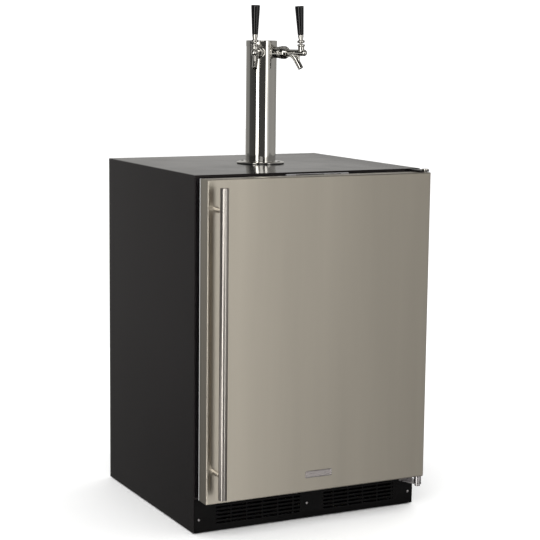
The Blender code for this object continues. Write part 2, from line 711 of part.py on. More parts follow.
def make_door():
    """Steel pan, foam core, inner panel, gasket, badge plate and bar handle."""
    pivot = add_empty("door_pivot", cabinet, (HINGE_X, HINGE_Y, 0))
    pin_room = HINGE_PIN_RADIUS + 0.0004
    x, z = (DOOR_LEFT, DOOR_RIGHT), (DOOR_BOTTOM, DOOR_TOP)
    skin = add("door_skin", open_box_mesh("door_skin", x, (DOOR_FRONT, PAN_BACK), z, (0, 1, 0)),
               "stainless", cabinet)
    bevel(skin, 0.0025, 3)
    thicken(skin, DOOR_SHEET)
    inner = DOOR_SHEET + GAP
    foam = block("door_foam", (x[0] + inner, x[1] - inner), (DOOR_FRONT + inner, -0.0265),
                 (z[0] + inner, z[1] - inner), "foam", cabinet)
    bevel(foam, 0.0030, 2)
    panel = block("door_inner_panel", (x[0] + inner, x[1] - inner), (-0.0262, DOOR_BACK - 0.001),
                  (z[0] + inner, z[1] - inner), "white_plastic", cabinet)
    bevel(panel, 0.0020, 1)
    rim = 0.0005
    join(panel, block_tool("panel_rim", cabinet, ((x[0] + rim, x[1] - rim),
                                                  (PAN_BACK + GAP, DOOR_BACK),
                                                  (z[0] + rim, z[1] - rim))))
    cut(panel, block_tool("panel_recess", cabinet, ((-0.252, 0.252), (-0.0228, 0.01),
                                                    (0.125, 0.800))))
    for piece in (skin, foam):
        cut(piece, hinge_cutter(f"{piece.name}_upper_pin_hole", pin_room, 0.8310, 0.860),
            hinge_cutter(f"{piece.name}_lower_pin_hole", pin_room, 0.070, 0.1025))
    gasket = block("door_gasket", (-GASKET_OUTER, GASKET_OUTER), (DOOR_BACK + GAP, -GAP),
                   (0.0955, 0.8290), "rubber", cabinet)
    bevel(gasket, 0.002, 1)
    cut(gasket, block_tool("gasket_inside", cabinet, ((-GASKET_INNER, GASKET_INNER), (-0.03, 0.01),
                                                      (0.1135, 0.8110))))
    badge = add("badge_plate", outline_mesh("badge_plate", rounded_rectangle(0.072, 0.017, 0.003),
                                            0.0015),
                "chrome", cabinet, (0.001, DOOR_FRONT - GAP - 0.00075, 0.129), (math.pi / 2, 0, 0))
    for piece in (skin, foam, panel, gasket, badge, *make_handle()):
        attach(piece, pivot)


def make_handle():
    """Tubular bar on two stand-offs whose ends are scooped to fit it."""
    edge = 0.0012
    bar_profile = [(0, HANDLE_TOP), (HANDLE_RADIUS - edge, HANDLE_TOP),
                   (HANDLE_RADIUS, HANDLE_TOP - edge), (HANDLE_RADIUS, HANDLE_BOTTOM + edge),
                   (HANDLE_RADIUS - edge, HANDLE_BOTTOM), (0, HANDLE_BOTTOM)]
    pieces = [turned("handle_bar", bar_profile, "stainless", cabinet, (HANDLE_X, HANDLE_Y, 0))]
    length = DOOR_FRONT - GAP - HANDLE_Y
    for name, z in STANDOFF_HEIGHTS.items():
        post = turned(f"handle_standoff_{name}", rod(STANDOFF_RADIUS, 0, length), "stainless",
                      cabinet, (HANDLE_X, HANDLE_Y, z), ALONG_Y, 20)
        cut(post, turned_tool(f"standoff_scoop_{name}", rod(HANDLE_RADIUS + GAP, -0.02, 0.02),
                              cabinet, (HANDLE_X, HANDLE_Y, z)))
        pieces.append(post)
    return pieces


# Hinges ---------------------------------------------------------------------------------------

HINGE_PLATE_LEFT = 0.2625
HINGE_PLATE_RIGHT = 0.3005
EYE_RADIUS = 0.0095
LOWER_PLATE = (0.0645, 0.0675)
UPPER_PLATE = (0.8475, 0.8505)


def hinge_plate(name, z, flange):
    """A plate that reaches out to the pin, with a flange that screws to the cabinet's front."""
    eye = arc((HINGE_X, HINGE_Y), EYE_RADIUS, -150, -20, 5)
    outline = [(HINGE_PLATE_LEFT, -GAP), *eye, (HINGE_PLATE_RIGHT, -GAP)]
    plate = add(name, outline_mesh(name, outline, z[1] - z[0]), "zinc", cabinet,
                (0, 0, sum(z) / 2))
    inset = 0.0005
    join(plate, block_tool(f"{name}_flange", cabinet,
                           ((HINGE_PLATE_LEFT + inset, HINGE_PLATE_RIGHT - inset),
                            (-0.0030, -GAP - inset), flange)))
    cut(plate, hinge_cutter(f"{name}_eye", HINGE_PIN_RADIUS + GAP, z[0] - 0.02, z[1] + 0.02))
    return plate


def make_hinges():
    hinge_plate("top_hinge_plate", UPPER_PLATE, (0.8325, UPPER_PLATE[1] - 0.001))
    hinge_plate("bottom_hinge_plate", LOWER_PLATE, (LOWER_PLATE[0] + 0.001, 0.0940))
    above = UPPER_PLATE[1] + GAP
    upper = [(0, above + 0.0030), (HINGE_COLLAR_RADIUS - 0.001, above + 0.0030),
             (HINGE_COLLAR_RADIUS, above + 0.0020), (HINGE_COLLAR_RADIUS, above),
             (HINGE_PIN_RADIUS, above), (HINGE_PIN_RADIUS, 0.8320), (0, 0.8320)]
    turned("top_hinge_pin", upper, "chrome", cabinet, (HINGE_X, HINGE_Y, 0), steps=20)
    above = LOWER_PLATE[1] + GAP
    below = LOWER_PLATE[0] - GAP
    lower = [(0, 0.1015), (HINGE_PIN_RADIUS, 0.1015), (HINGE_PIN_RADIUS, DOOR_BOTTOM - GAP),
             (HINGE_COLLAR_RADIUS, DOOR_BOTTOM - GAP), (HINGE_COLLAR_RADIUS, above),
             (HINGE_PIN_RADIUS, above), (HINGE_PIN_RADIUS, below), (0.0068, below),
             (0.0068, below - 0.005), (0, below - 0.005)]
    turned("bottom_hinge_pin", lower, "chrome", cabinet, (HINGE_X, HINGE_Y, 0), steps=20)


# Tower ----------------------------------------------------------------------------------------

GASKET_TOP = CABINET_HEIGHT + 0.0018
FLANGE_BOTTOM = GASKET_TOP + GAP
FLANGE_TOP = FLANGE_BOTTOM + 0.0035
FLANGE_RADIUS = 0.0603
TOWER_BOLT_ANGLES = [math.radians(45 + 90 * i) for i in range(4)]
SHANK_RADIUS = 0.0110


def tap_frame_rotation(side):
    """Turn that points local +X along a faucet: side -1 is left and +1 is right."""
    return (0, 0, -math.pi / 2 + side * TAP_ANGLE)


def make_tower():
    place = (0, TOWER_Y, 0)
    turned("tower_gasket", ring(0.0590, 0.0330, CABINET_HEIGHT + GAP, GASKET_TOP), "rubber",
           cabinet, place, steps=28)
    flange = [(FLANGE_RADIUS - 0.0012, FLANGE_TOP), (FLANGE_RADIUS, FLANGE_TOP - 0.0012),
              (FLANGE_RADIUS, FLANGE_BOTTOM), (0.0330, FLANGE_BOTTOM), (0.0330, FLANGE_TOP)]
    base = turned("tower_base_flange", flange, "chrome", cabinet, place, steps=36)
    for number, angle in enumerate(TOWER_BOLT_ANGLES):
        spot = (0.0485 * math.cos(angle), TOWER_Y + 0.0485 * math.sin(angle), 0)
        cut(base, turned_tool(f"flange_bolt_hole_{number}", rod(0.0025, 0.84, 0.88), cabinet, spot,
                              steps=8))
    column_top = TOWER_TOP - 0.0030
    column = turned("tower_column", ring(TOWER_RADIUS, TOWER_RADIUS - TOWER_WALL,
                                         FLANGE_TOP + GAP, column_top),
                    "chrome", cabinet, place, steps=36)
    outer = TOWER_RADIUS + 0.0007
    skirt = TOWER_RADIUS + GAP
    under = column_top + GAP
    cap = [(0, TOWER_TOP), (outer - 0.0008, TOWER_TOP), (outer, TOWER_TOP - 0.0008),
           (outer, TOWER_TOP - CAP_SKIRT), (skirt, TOWER_TOP - CAP_SKIRT), (skirt, under),
           (0, under)]
    turned("tower_cap", cap, "chrome", cabinet, place, steps=36)
    return column


# Faucets --------------------------------------------------------------------------------------

SHANK_INNER_END = 0.0200
SHANK_OUTER_END = 0.0625
SHANK_COLLAR_END = 0.0500
SHANK_BORE = 0.0058
NUT_START = 0.0505
NUT_END = 0.0745
FAUCET_START = 0.0630
FAUCET_END = 0.1270
BARREL_RADIUS = 0.0080
STEM_RADIUS = 0.0036
STEM_BORE = 0.0042
SPOUT_RADIUS = 0.0068
SPOUT_BORE = 0.0046
SPOUT_KNOTS = [(0.0780, 1.1275), (0.0865, 1.1235), (0.0950, 1.1160), (0.1025, 1.1045),
               (0.1110, 1.0910)]
BEAD_RADIUS = 0.0030
BEAD_CENTRE = 0.0068


def bead(height):
    """Outer half of a round ring, from its top to its bottom, at a height on the axis."""
    return arc((BEAD_CENTRE, height), BEAD_RADIUS, 90, -90, 4)


def make_shank(tag, tap, column):
    """Threaded tube through the tower's wall, with a collar that seats on the column."""
    hole = turned_tool(f"column_hole_{tag}", rod(SHANK_RADIUS + GAP, 0.02, 0.06), tap,
                       (0, 0, TAP_Z), ALONG_X)
    cut(column, hole)
    profile = [(SHANK_RADIUS, SHANK_OUTER_END), (SHANK_RADIUS, SHANK_COLLAR_END),
               (0.0140, SHANK_COLLAR_END), (0.0140, 0.0330), (SHANK_RADIUS, 0.0330),
               (SHANK_RADIUS, SHANK_INNER_END), (SHANK_BORE, SHANK_INNER_END),
               (SHANK_BORE, SHANK_OUTER_END)]
    shank = turned(f"faucet_shank_{tag}", profile, "chrome", tap, (0, 0, TAP_Z), ALONG_X, 20)
    seat = ring(TOWER_RADIUS + GAP, SHANK_RADIUS + 0.020, -0.03, 0.03)
    scoop = turned_tool(f"collar_scoop_{tag}", seat, tap, (0, 0, TAP_Z), steps=48)
    keep = turned_tool(f"collar_keep_{tag}", ring(0.0200, SHANK_RADIUS, 0.010, 0.0383), tap,
                       (0, 0, TAP_Z), ALONG_X)
    boolean(scoop, keep, "INTERSECT")
    cut(shank, scoop)


def make_coupling_nut(tag, tap):
    """Nut that pulls the faucet onto its shank."""
    lip = 0.0690
    profile = [(0.0125, NUT_END), (0.0160, NUT_END - 0.0040), (0.0160, NUT_START + 0.0015),
               (0.0145, NUT_START), (SHANK_RADIUS + GAP, NUT_START), (SHANK_RADIUS + GAP, lip),
               (BARREL_RADIUS + GAP, lip), (BARREL_RADIUS + GAP, NUT_END)]
    turned(f"coupling_nut_{tag}", profile, "chrome", tap, (0, 0, TAP_Z), ALONG_X, 20)


def spout_path(end_extra=0.0):
    """Centre line of the spout, which leaves the barrel and turns down and forwards."""
    knots = [(x, 0, z) for x, z in SPOUT_KNOTS]
    points = smooth_curve(knots, 2)
    if end_extra:
        direction = (points[-1] - points[-2]).normalized()
        points.append(points[-1] + direction * end_extra)
    return points


def make_faucet_body(tag, tap):
    """Barrel with a ball end, neck, spout and vent, bored for the plunger, lever and beer."""
    tip = arc((0, FAUCET_END - BARREL_RADIUS), BARREL_RADIUS, 90, 0, 5)
    profile = [(0, tip[0][1]), *tip[1:], (BARREL_RADIUS, 0.0687), (SHANK_RADIUS, 0.0687),
               (SHANK_RADIUS, FAUCET_START), (0, FAUCET_START)]
    body = turned(f"faucet_body_{tag}", profile, "chrome", tap, (0, 0, TAP_Z), ALONG_X, 20)
    spout = add_tool(f"spout_{tag}", tube_mesh(f"spout_{tag}", spout_path(), SPOUT_RADIUS), tap)
    neck = turned_tool(f"faucet_neck_{tag}", rod(0.0078, TAP_Z + 0.001, TAP_PIVOT_Z - 0.0038), tap,
                       (TAP_PIVOT_OUT, 0, 0), steps=16)
    vent = turned_tool(f"faucet_vent_{tag}", rod(0.0028, 1.1040, TAP_Z - 0.004), tap,
                       (0.1055, 0, 0), steps=8)
    join(body, spout, neck, vent)
    bore = [(0, 0.1185), (STEM_BORE, 0.1185), (STEM_BORE, 0.0715), (SHANK_BORE, 0.0715),
            (SHANK_BORE, 0.0500), (0, 0.0500)]
    finger_room = (-0.0021, 0.0021)
    slot = [((TAP_PIVOT_OUT - 0.0064, TAP_PIVOT_OUT + 0.0034), finger_room,
             (TAP_Z, TAP_PIVOT_Z - 0.0020)),
            ((TAP_PIVOT_OUT - 0.0082, TAP_PIVOT_OUT), finger_room, (TAP_Z, TAP_Z + 0.0065))]
    seat = turned_tool(f"ball_seat_{tag}", ball(0.0052), tap, (TAP_PIVOT_OUT, 0, TAP_PIVOT_Z),
                       steps=12)
    beer_way = [point for point in spout_path(0.004) if point.x > 0.080]
    cut(body, turned_tool(f"faucet_bore_{tag}", bore, tap, (0, 0, TAP_Z), ALONG_X, 16),
        add_tool(f"spout_bore_{tag}", tube_mesh(f"spout_bore_{tag}", beer_way, SPOUT_BORE), tap),
        *[add_tool(f"lever_slot_{tag}_{number}", boxes_mesh(f"lever_slot_{tag}_{number}", [box]), tap)
          for number, box in enumerate(slot)], seat)


def ball(radius):
    """Profile of a sphere around the origin."""
    points = arc((0, 0), radius, 90, -90, 6)
    return [(0, radius), *points[1:-1], (0, -radius)]


def make_bonnet(tag, tap):
    """Ring nut that holds the lever's ball in the neck."""
    centre = -0.0003
    low = centre - BEAD_RADIUS
    high = centre + BEAD_RADIUS
    profile = [*bead(centre), (0.0051, low), (0.0051, 0.0008), (0.0047, high)]
    turned(f"faucet_bonnet_{tag}", profile, "chrome", tap, (TAP_PIVOT_OUT, 0, TAP_PIVOT_Z),
           steps=16)


def make_stem(tag, tap):
    """Plunger that the lever pushes back into the shank to open the tap."""
    profile = [(0, 0.1170), (STEM_RADIUS, 0.1170), (STEM_RADIUS, 0.0710), (0.0052, 0.0690),
               (0.0052, 0.0655), (0, 0.0655)]
    axis = add_empty(f"stem_axis_{tag}", tap, (0, 0, TAP_Z))
    stem = turned(f"faucet_stem_{tag}", profile, "stainless", axis, rotation=ALONG_X, steps=16)
    middle = TAP_PIVOT_OUT + LEVER_ARM * math.tan(TAP_LEAN)
    notch = ((middle - 0.0023, middle + 0.0023), (-0.010, 0.010), (0.0004, 0.010))
    cut(stem, add_tool(f"stem_notch_{tag}", boxes_mesh(f"stem_notch_{tag}", [notch]), axis))


def make_lever(tag, tap):
    """Ball lever with its collar and ferrule, and the tapered black handle on it."""
    pivot = add_empty(f"lever_pivot_{tag}", tap, (TAP_PIVOT_OUT, 0, TAP_PIVOT_Z),
                      (0, -TAP_LEAN, 0))
    ball_radius = 0.0048
    stud = 0.0030
    finger = 0.0016
    upper = math.degrees(math.acos(stud / ball_radius))
    lower = math.degrees(math.acos(finger / ball_radius))
    collar = bead(0.0090)
    profile = [(0, 0.0245), (0.0072, 0.0245), (0.0070, 0.0215), (0.0052, 0.0122), *collar,
               (stud, collar[-1][1]), *arc((0, 0), ball_radius, upper, -lower, 4),
               (finger, -0.0172), (0, -0.0172)]
    turned(f"tap_lever_{tag}", profile, "chrome", pivot, steps=16)
    low = 0.0245 + GAP
    top = 0.0952
    handle = [(0, top), (0.0100, top), (0.0108, top - 0.0008), (0.0108, top - 0.0040),
              (0.0074, low + 0.0010), (0.0066, low), (0, low)]
    turned(f"tap_handle_{tag}", handle, "gloss_black", pivot, steps=16)


def make_beer_line(tag, tap):
    """Line from the shank down the tower to a fitting below the liner's ceiling."""
    drop = 0.0110
    knots = [(SHANK_INNER_END - GAP, 0, TAP_Z), (0.0165, 0, TAP_Z - 0.0008),
             (0.0122, 0, TAP_Z - 0.0085), (drop, 0, TAP_Z - 0.022), (drop, 0, 1.05),
             (drop, 0, 0.95), (drop, 0, 0.850), (drop, 0, 0.790)]
    line = add(f"beer_line_{tag}", tube_mesh(f"beer_line_{tag}", smooth_curve(knots, 2), 0.0045),
               "clear_plastic", tap)
    fitting = [(0, 0.796), (0.0060, 0.796), (0.0060, 0.782), (0.0050, 0.782), (0.0050, 0.774),
               (0, 0.774)]
    join(line, turned_tool(f"line_fitting_{tag}", fitting, tap, (drop, 0, 0), steps=16))


def make_faucets(column):
    for tag, side in (("left", -1), ("right", 1)):
        tap = add_empty(f"tap_frame_{tag}", cabinet, (0, TOWER_Y, 0), tap_frame_rotation(side))
        make_shank(tag, tap, column)
        make_coupling_nut(tag, tap)
        make_faucet_body(tag, tap)
        make_bonnet(tag, tap)
        make_stem(tag, tap)
        make_lever(tag, tap)
        make_beer_line(tag, tap)


# Assembly -------------------------------------------------------------------------------------

make_wrapper()
make_front_frame()
make_liner()
make_insulation()
make_rear()
make_power_inlet()
make_base_pan()
make_kick_grille()
make_feet()
make_interior()
make_control_panel()
make_compressor()
make_condenser()
make_condenser_fan()
make_evaporator()
make_door()
make_hinges()
make_faucets(make_tower())
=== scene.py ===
"""Looks of the two-tap keg refrigerator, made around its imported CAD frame.

Metres, in the frame's own coordinates: +Z up, the door faces -Y, and the door is hinged at +X.
Depths written as y below are measured from the cabinet's front plane, at FRONT.
"""

import json
import math

import bmesh
import bpy
from mathutils import Matrix, Vector


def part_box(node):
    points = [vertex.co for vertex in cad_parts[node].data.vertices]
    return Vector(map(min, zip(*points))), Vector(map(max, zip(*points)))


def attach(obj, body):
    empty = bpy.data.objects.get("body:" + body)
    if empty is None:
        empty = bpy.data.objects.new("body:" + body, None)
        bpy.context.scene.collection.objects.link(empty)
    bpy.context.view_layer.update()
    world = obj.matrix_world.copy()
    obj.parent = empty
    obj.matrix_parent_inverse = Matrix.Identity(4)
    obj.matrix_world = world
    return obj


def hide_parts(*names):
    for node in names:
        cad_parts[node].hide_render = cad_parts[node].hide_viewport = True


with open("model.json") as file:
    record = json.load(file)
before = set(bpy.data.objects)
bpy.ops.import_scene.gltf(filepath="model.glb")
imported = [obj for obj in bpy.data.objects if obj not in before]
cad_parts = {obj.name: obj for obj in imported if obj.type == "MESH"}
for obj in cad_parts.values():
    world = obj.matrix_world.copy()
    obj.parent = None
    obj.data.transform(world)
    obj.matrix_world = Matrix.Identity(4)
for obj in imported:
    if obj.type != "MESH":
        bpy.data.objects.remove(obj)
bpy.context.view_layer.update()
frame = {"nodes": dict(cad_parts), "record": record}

# Sizes read from the frame ------------------------------------------------------------------------

X, Y, Z = range(3)


def span(node, axis):
    """Lowest and highest value of a CAD node along one axis."""
    low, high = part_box(node)
    return low[axis], high[axis]


GAP = 0.0003
FRONT = span("front_frame", Y)[0]
HALF_WIDTH = span("cabinet_wrapper", X)[1]
SIDE_BOTTOM, CABINET_TOP = span("cabinet_wrapper", Z)
CABINET_DEPTH = span("cabinet_wrapper", Y)[1] - FRONT
SHEET = 0.001
INSIDE = span("front_frame", X)[1]

DOOR_LEFT, DOOR_RIGHT = span("door_skin", X)
DOOR_BOTTOM, DOOR_TOP = span("door_skin", Z)
DOOR_FRONT, PAN_BACK = (y - FRONT for y in span("door_skin", Y))
HINGE_X, HINGE_Y = 0.2915, -0.042
TOWER_Y = CABINET_DEPTH / 2
TOWER_RADIUS = span("tower_column", X)[1]
TAP_ANGLE = math.radians(35)
TAP_Z = 1.1293
TAP_PIVOT_OUT = 0.111
TAP_PIVOT_Z = 1.1478
TAP_LEAN = math.radians(4)
SIDES = {"left": -1, "right": 1}


# Mesh helpers -------------------------------------------------------------------------------------

def arc(centre, radius, start, end, steps):
    """Points on a circle, angles in degrees from the first axis."""
    angles = [math.radians(start + (end - start) * i / steps) for i in range(steps + 1)]
    return [(centre[0] + radius * math.cos(a), centre[1] + radius * math.sin(a)) for a in angles]


def rounded(points, radius, steps=4):
    """An open outline with its corners rounded off. Its two ends stay."""
    points = [Vector(point) for point in points]
    result = [points[0]]
    for before, corner, after in zip(points, points[1:], points[2:]):
        ends = []
        for other in (before, after):
            away = other - corner
            ends.append(corner + away * min(1, radius / max(away.length, 1e-6)) * 0.999
                        if away.length > radius * 2 else corner + away * 0.45)
        for i in range(steps + 1):
            t = i / steps
            result.append(ends[0] * (1 - t) ** 2 + corner * (2 * t * (1 - t)) + ends[1] * t ** 2)
    result.append(points[-1])
    return [tuple(point) for point in result]


def rounded_rectangle(x, z, radius, steps=4):
    """Outline of a rectangle with round corners, counter-clockwise."""
    points = []
    corners = [(x[1], z[1], -1, -1), (x[0], z[1], 1, -1), (x[0], z[0], 1, 1), (x[1], z[0], -1, 1)]
    for turn, (cx, cz, sx, sz) in enumerate(corners):
        centre = (cx + sx * radius, cz + sz * radius)
        points += arc(centre, radius, 90 * turn, 90 * turn + 90, steps)
    return points


def bridge(builder, loops, closed_loops=True):
    """Faces between neighbouring loops of vertices."""
    for low, high in zip(loops, loops[1:]):
        count = len(low)
        for i in range(count if closed_loops else count - 1):
            j = (i + 1) % count
            corners = [low[i], low[j], high[j], high[i]]
            unique = list(dict.fromkeys(corners))
            if len(unique) > 2:
                builder.faces.new(unique)


def add_turned(builder, profile, place=Matrix(), steps=64):
    """A profile of (radius, height) spun around local Z. Off the axis it is joined end to end."""
    ring = profile[0][0] > 1e-7
    turns = [2 * math.pi * i / steps for i in range(steps)]
    loops = []
    for radius, height in profile:
        if radius < 1e-7:
            tip = builder.verts.new(place @ Vector((0, 0, height)))
            loops.append([tip] * steps)
        else:
            loops.append([builder.verts.new(place @ Vector((radius * math.cos(a),
                                                            radius * math.sin(a), height)))
                          for a in turns])
    if ring:
        loops.append(loops[0])
    bridge(builder, loops)


def add_box(builder, x, y, z, radius=0.0, segments=3, place=Matrix()):
    """A box with all its edges rounded."""
    centre = Vector([(low + high) / 2 for low, high in (x, y, z)])
    size = [high - low for low, high in (x, y, z)]
    shape = Matrix.Translation(centre) @ Matrix.Diagonal((*size, 1))
    made = bmesh.ops.create_cube(builder, size=1.0, matrix=place @ shape)["verts"]
    if radius:
        edges = list({edge for vert in made for edge in vert.link_edges})
        bmesh.ops.bevel(builder, geom=edges, offset=radius, segments=segments, profile=0.5,
                        affect="EDGES", clamp_overlap=True)


def add_sweep(builder, points, radii, place=Matrix(), sides=24):
    """A round tube along points, with a radius at each point and flat ends."""
    points = [Vector(point) for point in points]
    across = Vector((0, 1, 0))
    loops = []
    for i, point in enumerate(points):
        along = (points[min(i + 1, len(points) - 1)] - points[max(i - 1, 0)]).normalized()
        across = (across - along * across.dot(along)).normalized()
        up = along.cross(across)
        loops.append([builder.verts.new(place @ (point + radii[i] * (across * math.cos(a)
                                                                      + up * math.sin(a))))
                      for a in [2 * math.pi * k / sides for k in range(sides)]])
    bridge(builder, loops)
    builder.faces.new(loops[0][::-1])
    builder.faces.new(loops[-1])


def add_frame(builder, profile, x, z, corner, steps=4, closed=True, cap=False):
    """A section of (inset, y) run round a rectangle. The inset is from the rectangle's edge."""
    loops = []
    for inset, y in profile:
        outline = rounded_rectangle((x[0] + inset, x[1] - inset), (z[0] + inset, z[1] - inset),
                                    max(corner - inset, 0.0002), steps)
        loops.append([builder.verts.new((px, FRONT + y, pz)) for px, pz in outline])
    if closed:
        loops.append(loops[0])
    bridge(builder, loops)
    if cap:
        builder.faces.new(loops[0])


def add_prism(builder, outline, low, high, place=Matrix()):
    """A flat outline in XY, given a thickness along Z."""
    loops = [[builder.verts.new(place @ Vector((x, y, height))) for x, y in outline]
             for height in (low, high)]
    bridge(builder, loops)
    builder.faces.new(loops[0][::-1])
    builder.faces.new(loops[1])


def smooth_curve(knots, steps):
    """Points on a Catmull-Rom curve through the knots."""
    knots = [Vector(knot) for knot in knots]
    row = [knots[0] * 2 - knots[1], *knots, knots[-1] * 2 - knots[-2]]
    points = []
    for a, b, c, d in zip(row, row[1:], row[2:], row[3:]):
        for i in range(steps):
            t = i / steps
            points.append(0.5 * (2 * b + (c - a) * t + (2 * a - 5 * b + 4 * c - d) * t ** 2
                                 + (3 * b - a - 3 * c + d) * t ** 3))
    points.append(knots[-1])
    return points


def mesh_of(builder, name):
    bmesh.ops.recalc_face_normals(builder, faces=builder.faces)
    mesh = bpy.data.meshes.new(name)
    builder.to_mesh(mesh)
    builder.free()
    return mesh


def loose(name, mesh):
    """An object that is linked to the scene so that its modifiers can be evaluated."""
    thing = bpy.data.objects.new(name, mesh)
    bpy.context.scene.collection.objects.link(thing)
    return thing


def baked(thing):
    """The mesh that an object evaluates to. The object is removed."""
    bpy.context.view_layer.update()
    graph = bpy.context.evaluated_depsgraph_get()
    mesh = bpy.data.meshes.new_from_object(thing.evaluated_get(graph))
    bpy.data.objects.remove(thing)
    return mesh


def combined(mesh, tool, operation):
    """The mesh after a Boolean with a tool, which is a bmesh."""
    thing = loose("target", mesh)
    cutter = loose("cutter", mesh_of(tool, "cutter"))
    modifier = thing.modifiers.new("boolean", "BOOLEAN")
    modifier.operation = operation
    modifier.object = cutter
    result = baked(thing)
    bpy.data.objects.remove(cutter)
    return result


def cut(mesh, tool):
    return combined(mesh, tool, "DIFFERENCE")


def union(mesh, tool):
    return combined(mesh, tool, "UNION")


def show(name, mesh, body, slot, *nodes, angle=35):
    """A finished piece: it rides on a body, has a slot's material and may replace CAD nodes."""
    mesh.name = name
    mesh.materials.clear()
    mesh.materials.append(FINISHES[slot])
    mesh.shade_smooth()
    mesh.set_sharp_from_angle(angle=math.radians(angle))
    thing = loose(name, mesh)
    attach(thing, body)
    if nodes:
        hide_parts(*nodes)
    return thing


def show_built(name, builder, body, slot, *nodes, angle=35):
    return show(name, mesh_of(builder, name), body, slot, *nodes, angle=angle)


def at(x, y, z):
    """A place on the cabinet, its depth measured from the front plane."""
    return Matrix.Translation((x, FRONT + y, z))


ALONG_Y = Matrix.Rotation(-math.pi / 2, 4, "X")
ALONG_X = Matrix.Rotation(math.pi / 2, 4, "Y")


# Materials ----------------------------------------------------------------------------------------

def new_material(name, colour, roughness, **constants):
    """A Principled material. Constants are its sockets, with _ for each space in a name."""
    material = bpy.data.materials.new(name)
    material.use_nodes = True
    tree = material.node_tree
    shader = tree.nodes["Principled BSDF"]
    shader.inputs["Base Color"].default_value = (*colour, 1)
    shader.inputs["Roughness"].default_value = roughness
    for socket, value in constants.items():
        shader.inputs[socket.replace("_", " ")].default_value = value
    return material, tree, shader


def noise(tree, scale, detail=3.0):
    """Noise on the object's own coordinates, with a frequency per metre along each axis."""
    place = tree.nodes.new("ShaderNodeTexCoord")
    mapping = tree.nodes.new("ShaderNodeMapping")
    mapping.inputs["Scale"].default_value = scale
    texture = tree.nodes.new("ShaderNodeTexNoise")
    texture.inputs["Scale"].default_value = 1.0
    texture.inputs["Detail"].default_value = detail
    tree.links.new(place.outputs["Object"], mapping.inputs["Vector"])
    tree.links.new(mapping.outputs["Vector"], texture.inputs["Vector"])
    return texture.outputs["Fac"]


def cells(tree, scale):
    """Random grey cells, as zinc crystals have."""
    place = tree.nodes.new("ShaderNodeTexCoord")
    texture = tree.nodes.new("ShaderNodeTexVoronoi")
    texture.inputs["Scale"].default_value = scale
    grey = tree.nodes.new("ShaderNodeRGBToBW")
    tree.links.new(place.outputs["Object"], texture.inputs["Vector"])
    tree.links.new(texture.outputs["Color"], grey.inputs["Color"])
    return grey.outputs["Val"]


def mapped(tree, value, low, high, start=0.3, end=0.7):
    """The value, stretched from start..end to low..high."""
    node = tree.nodes.new("ShaderNodeMapRange")
    for socket, number in zip(("From Min", "From Max", "To Min", "To Max"),
                              (start, end, low, high)):
        node.inputs[socket].default_value = number
    tree.links.new(value, node.inputs["Value"])
    return node.outputs["Result"]


def vary_colour(tree, shader, value, dark, light):
    """Base colour between dark and light as the value goes from 0.3 to 0.7."""
    ramp = tree.nodes.new("ShaderNodeValToRGB")
    ramp.color_ramp.elements[0].position = 0.3
    ramp.color_ramp.elements[0].color = (*dark, 1)
    ramp.color_ramp.elements[1].position = 0.7
    ramp.color_ramp.elements[1].color = (*light, 1)
    tree.links.new(value, ramp.inputs["Fac"])
    tree.links.new(ramp.outputs["Color"], shader.inputs["Base Color"])


def vary_roughness(tree, shader, value, low, high):
    tree.links.new(mapped(tree, value, low, high), shader.inputs["Roughness"])


def relief(tree, shader, value, depth, strength=1.0):
    """Bumps of that depth in metres."""
    bump = tree.nodes.new("ShaderNodeBump")
    bump.inputs["Distance"].default_value = depth
    bump.inputs["Strength"].default_value = strength
    tree.links.new(value, bump.inputs["Height"])
    tree.links.new(bump.outputs["Normal"], shader.inputs["Normal"])


def scaled(colour, factor):
    return tuple(channel * factor for channel in colour)


def black_steel():
    """Glossy black enamel on sheet steel, with a slight orange peel."""
    colour = (0.0032, 0.0028, 0.0031)
    material, tree, shader = new_material("black_steel", colour, 0.15, IOR=1.365,
                                          Specular_Tint=(1.0, 0.88, 0.90, 1))
    vary_colour(tree, shader, noise(tree, (3, 3, 3)), scaled(colour, 0.8), scaled(colour, 1.2))
    vary_roughness(tree, shader, noise(tree, (9, 9, 9)), 0.13, 0.19)
    relief(tree, shader, noise(tree, (420, 420, 420), 2.0), 0.00002, 0.3)
    return material


STEEL = (0.60, 0.555, 0.480)


def brushed_stainless():
    """Sheet with a horizontal grain, which draws reflections out up and down."""
    material, tree, shader = new_material("brushed_stainless", STEEL, 0.3, Metallic=1.0,
                                          Anisotropic=0.85, Anisotropic_Rotation=0.25)
    vary_colour(tree, shader, noise(tree, (11, 11, 0.7), 4.0), scaled(STEEL, 0.94),
                scaled(STEEL, 1.04))
    grain = noise(tree, (9, 9, 2600), 4.0)
    vary_roughness(tree, shader, grain, 0.28, 0.33)
    relief(tree, shader, grain, 0.000003, 0.25)
    return material


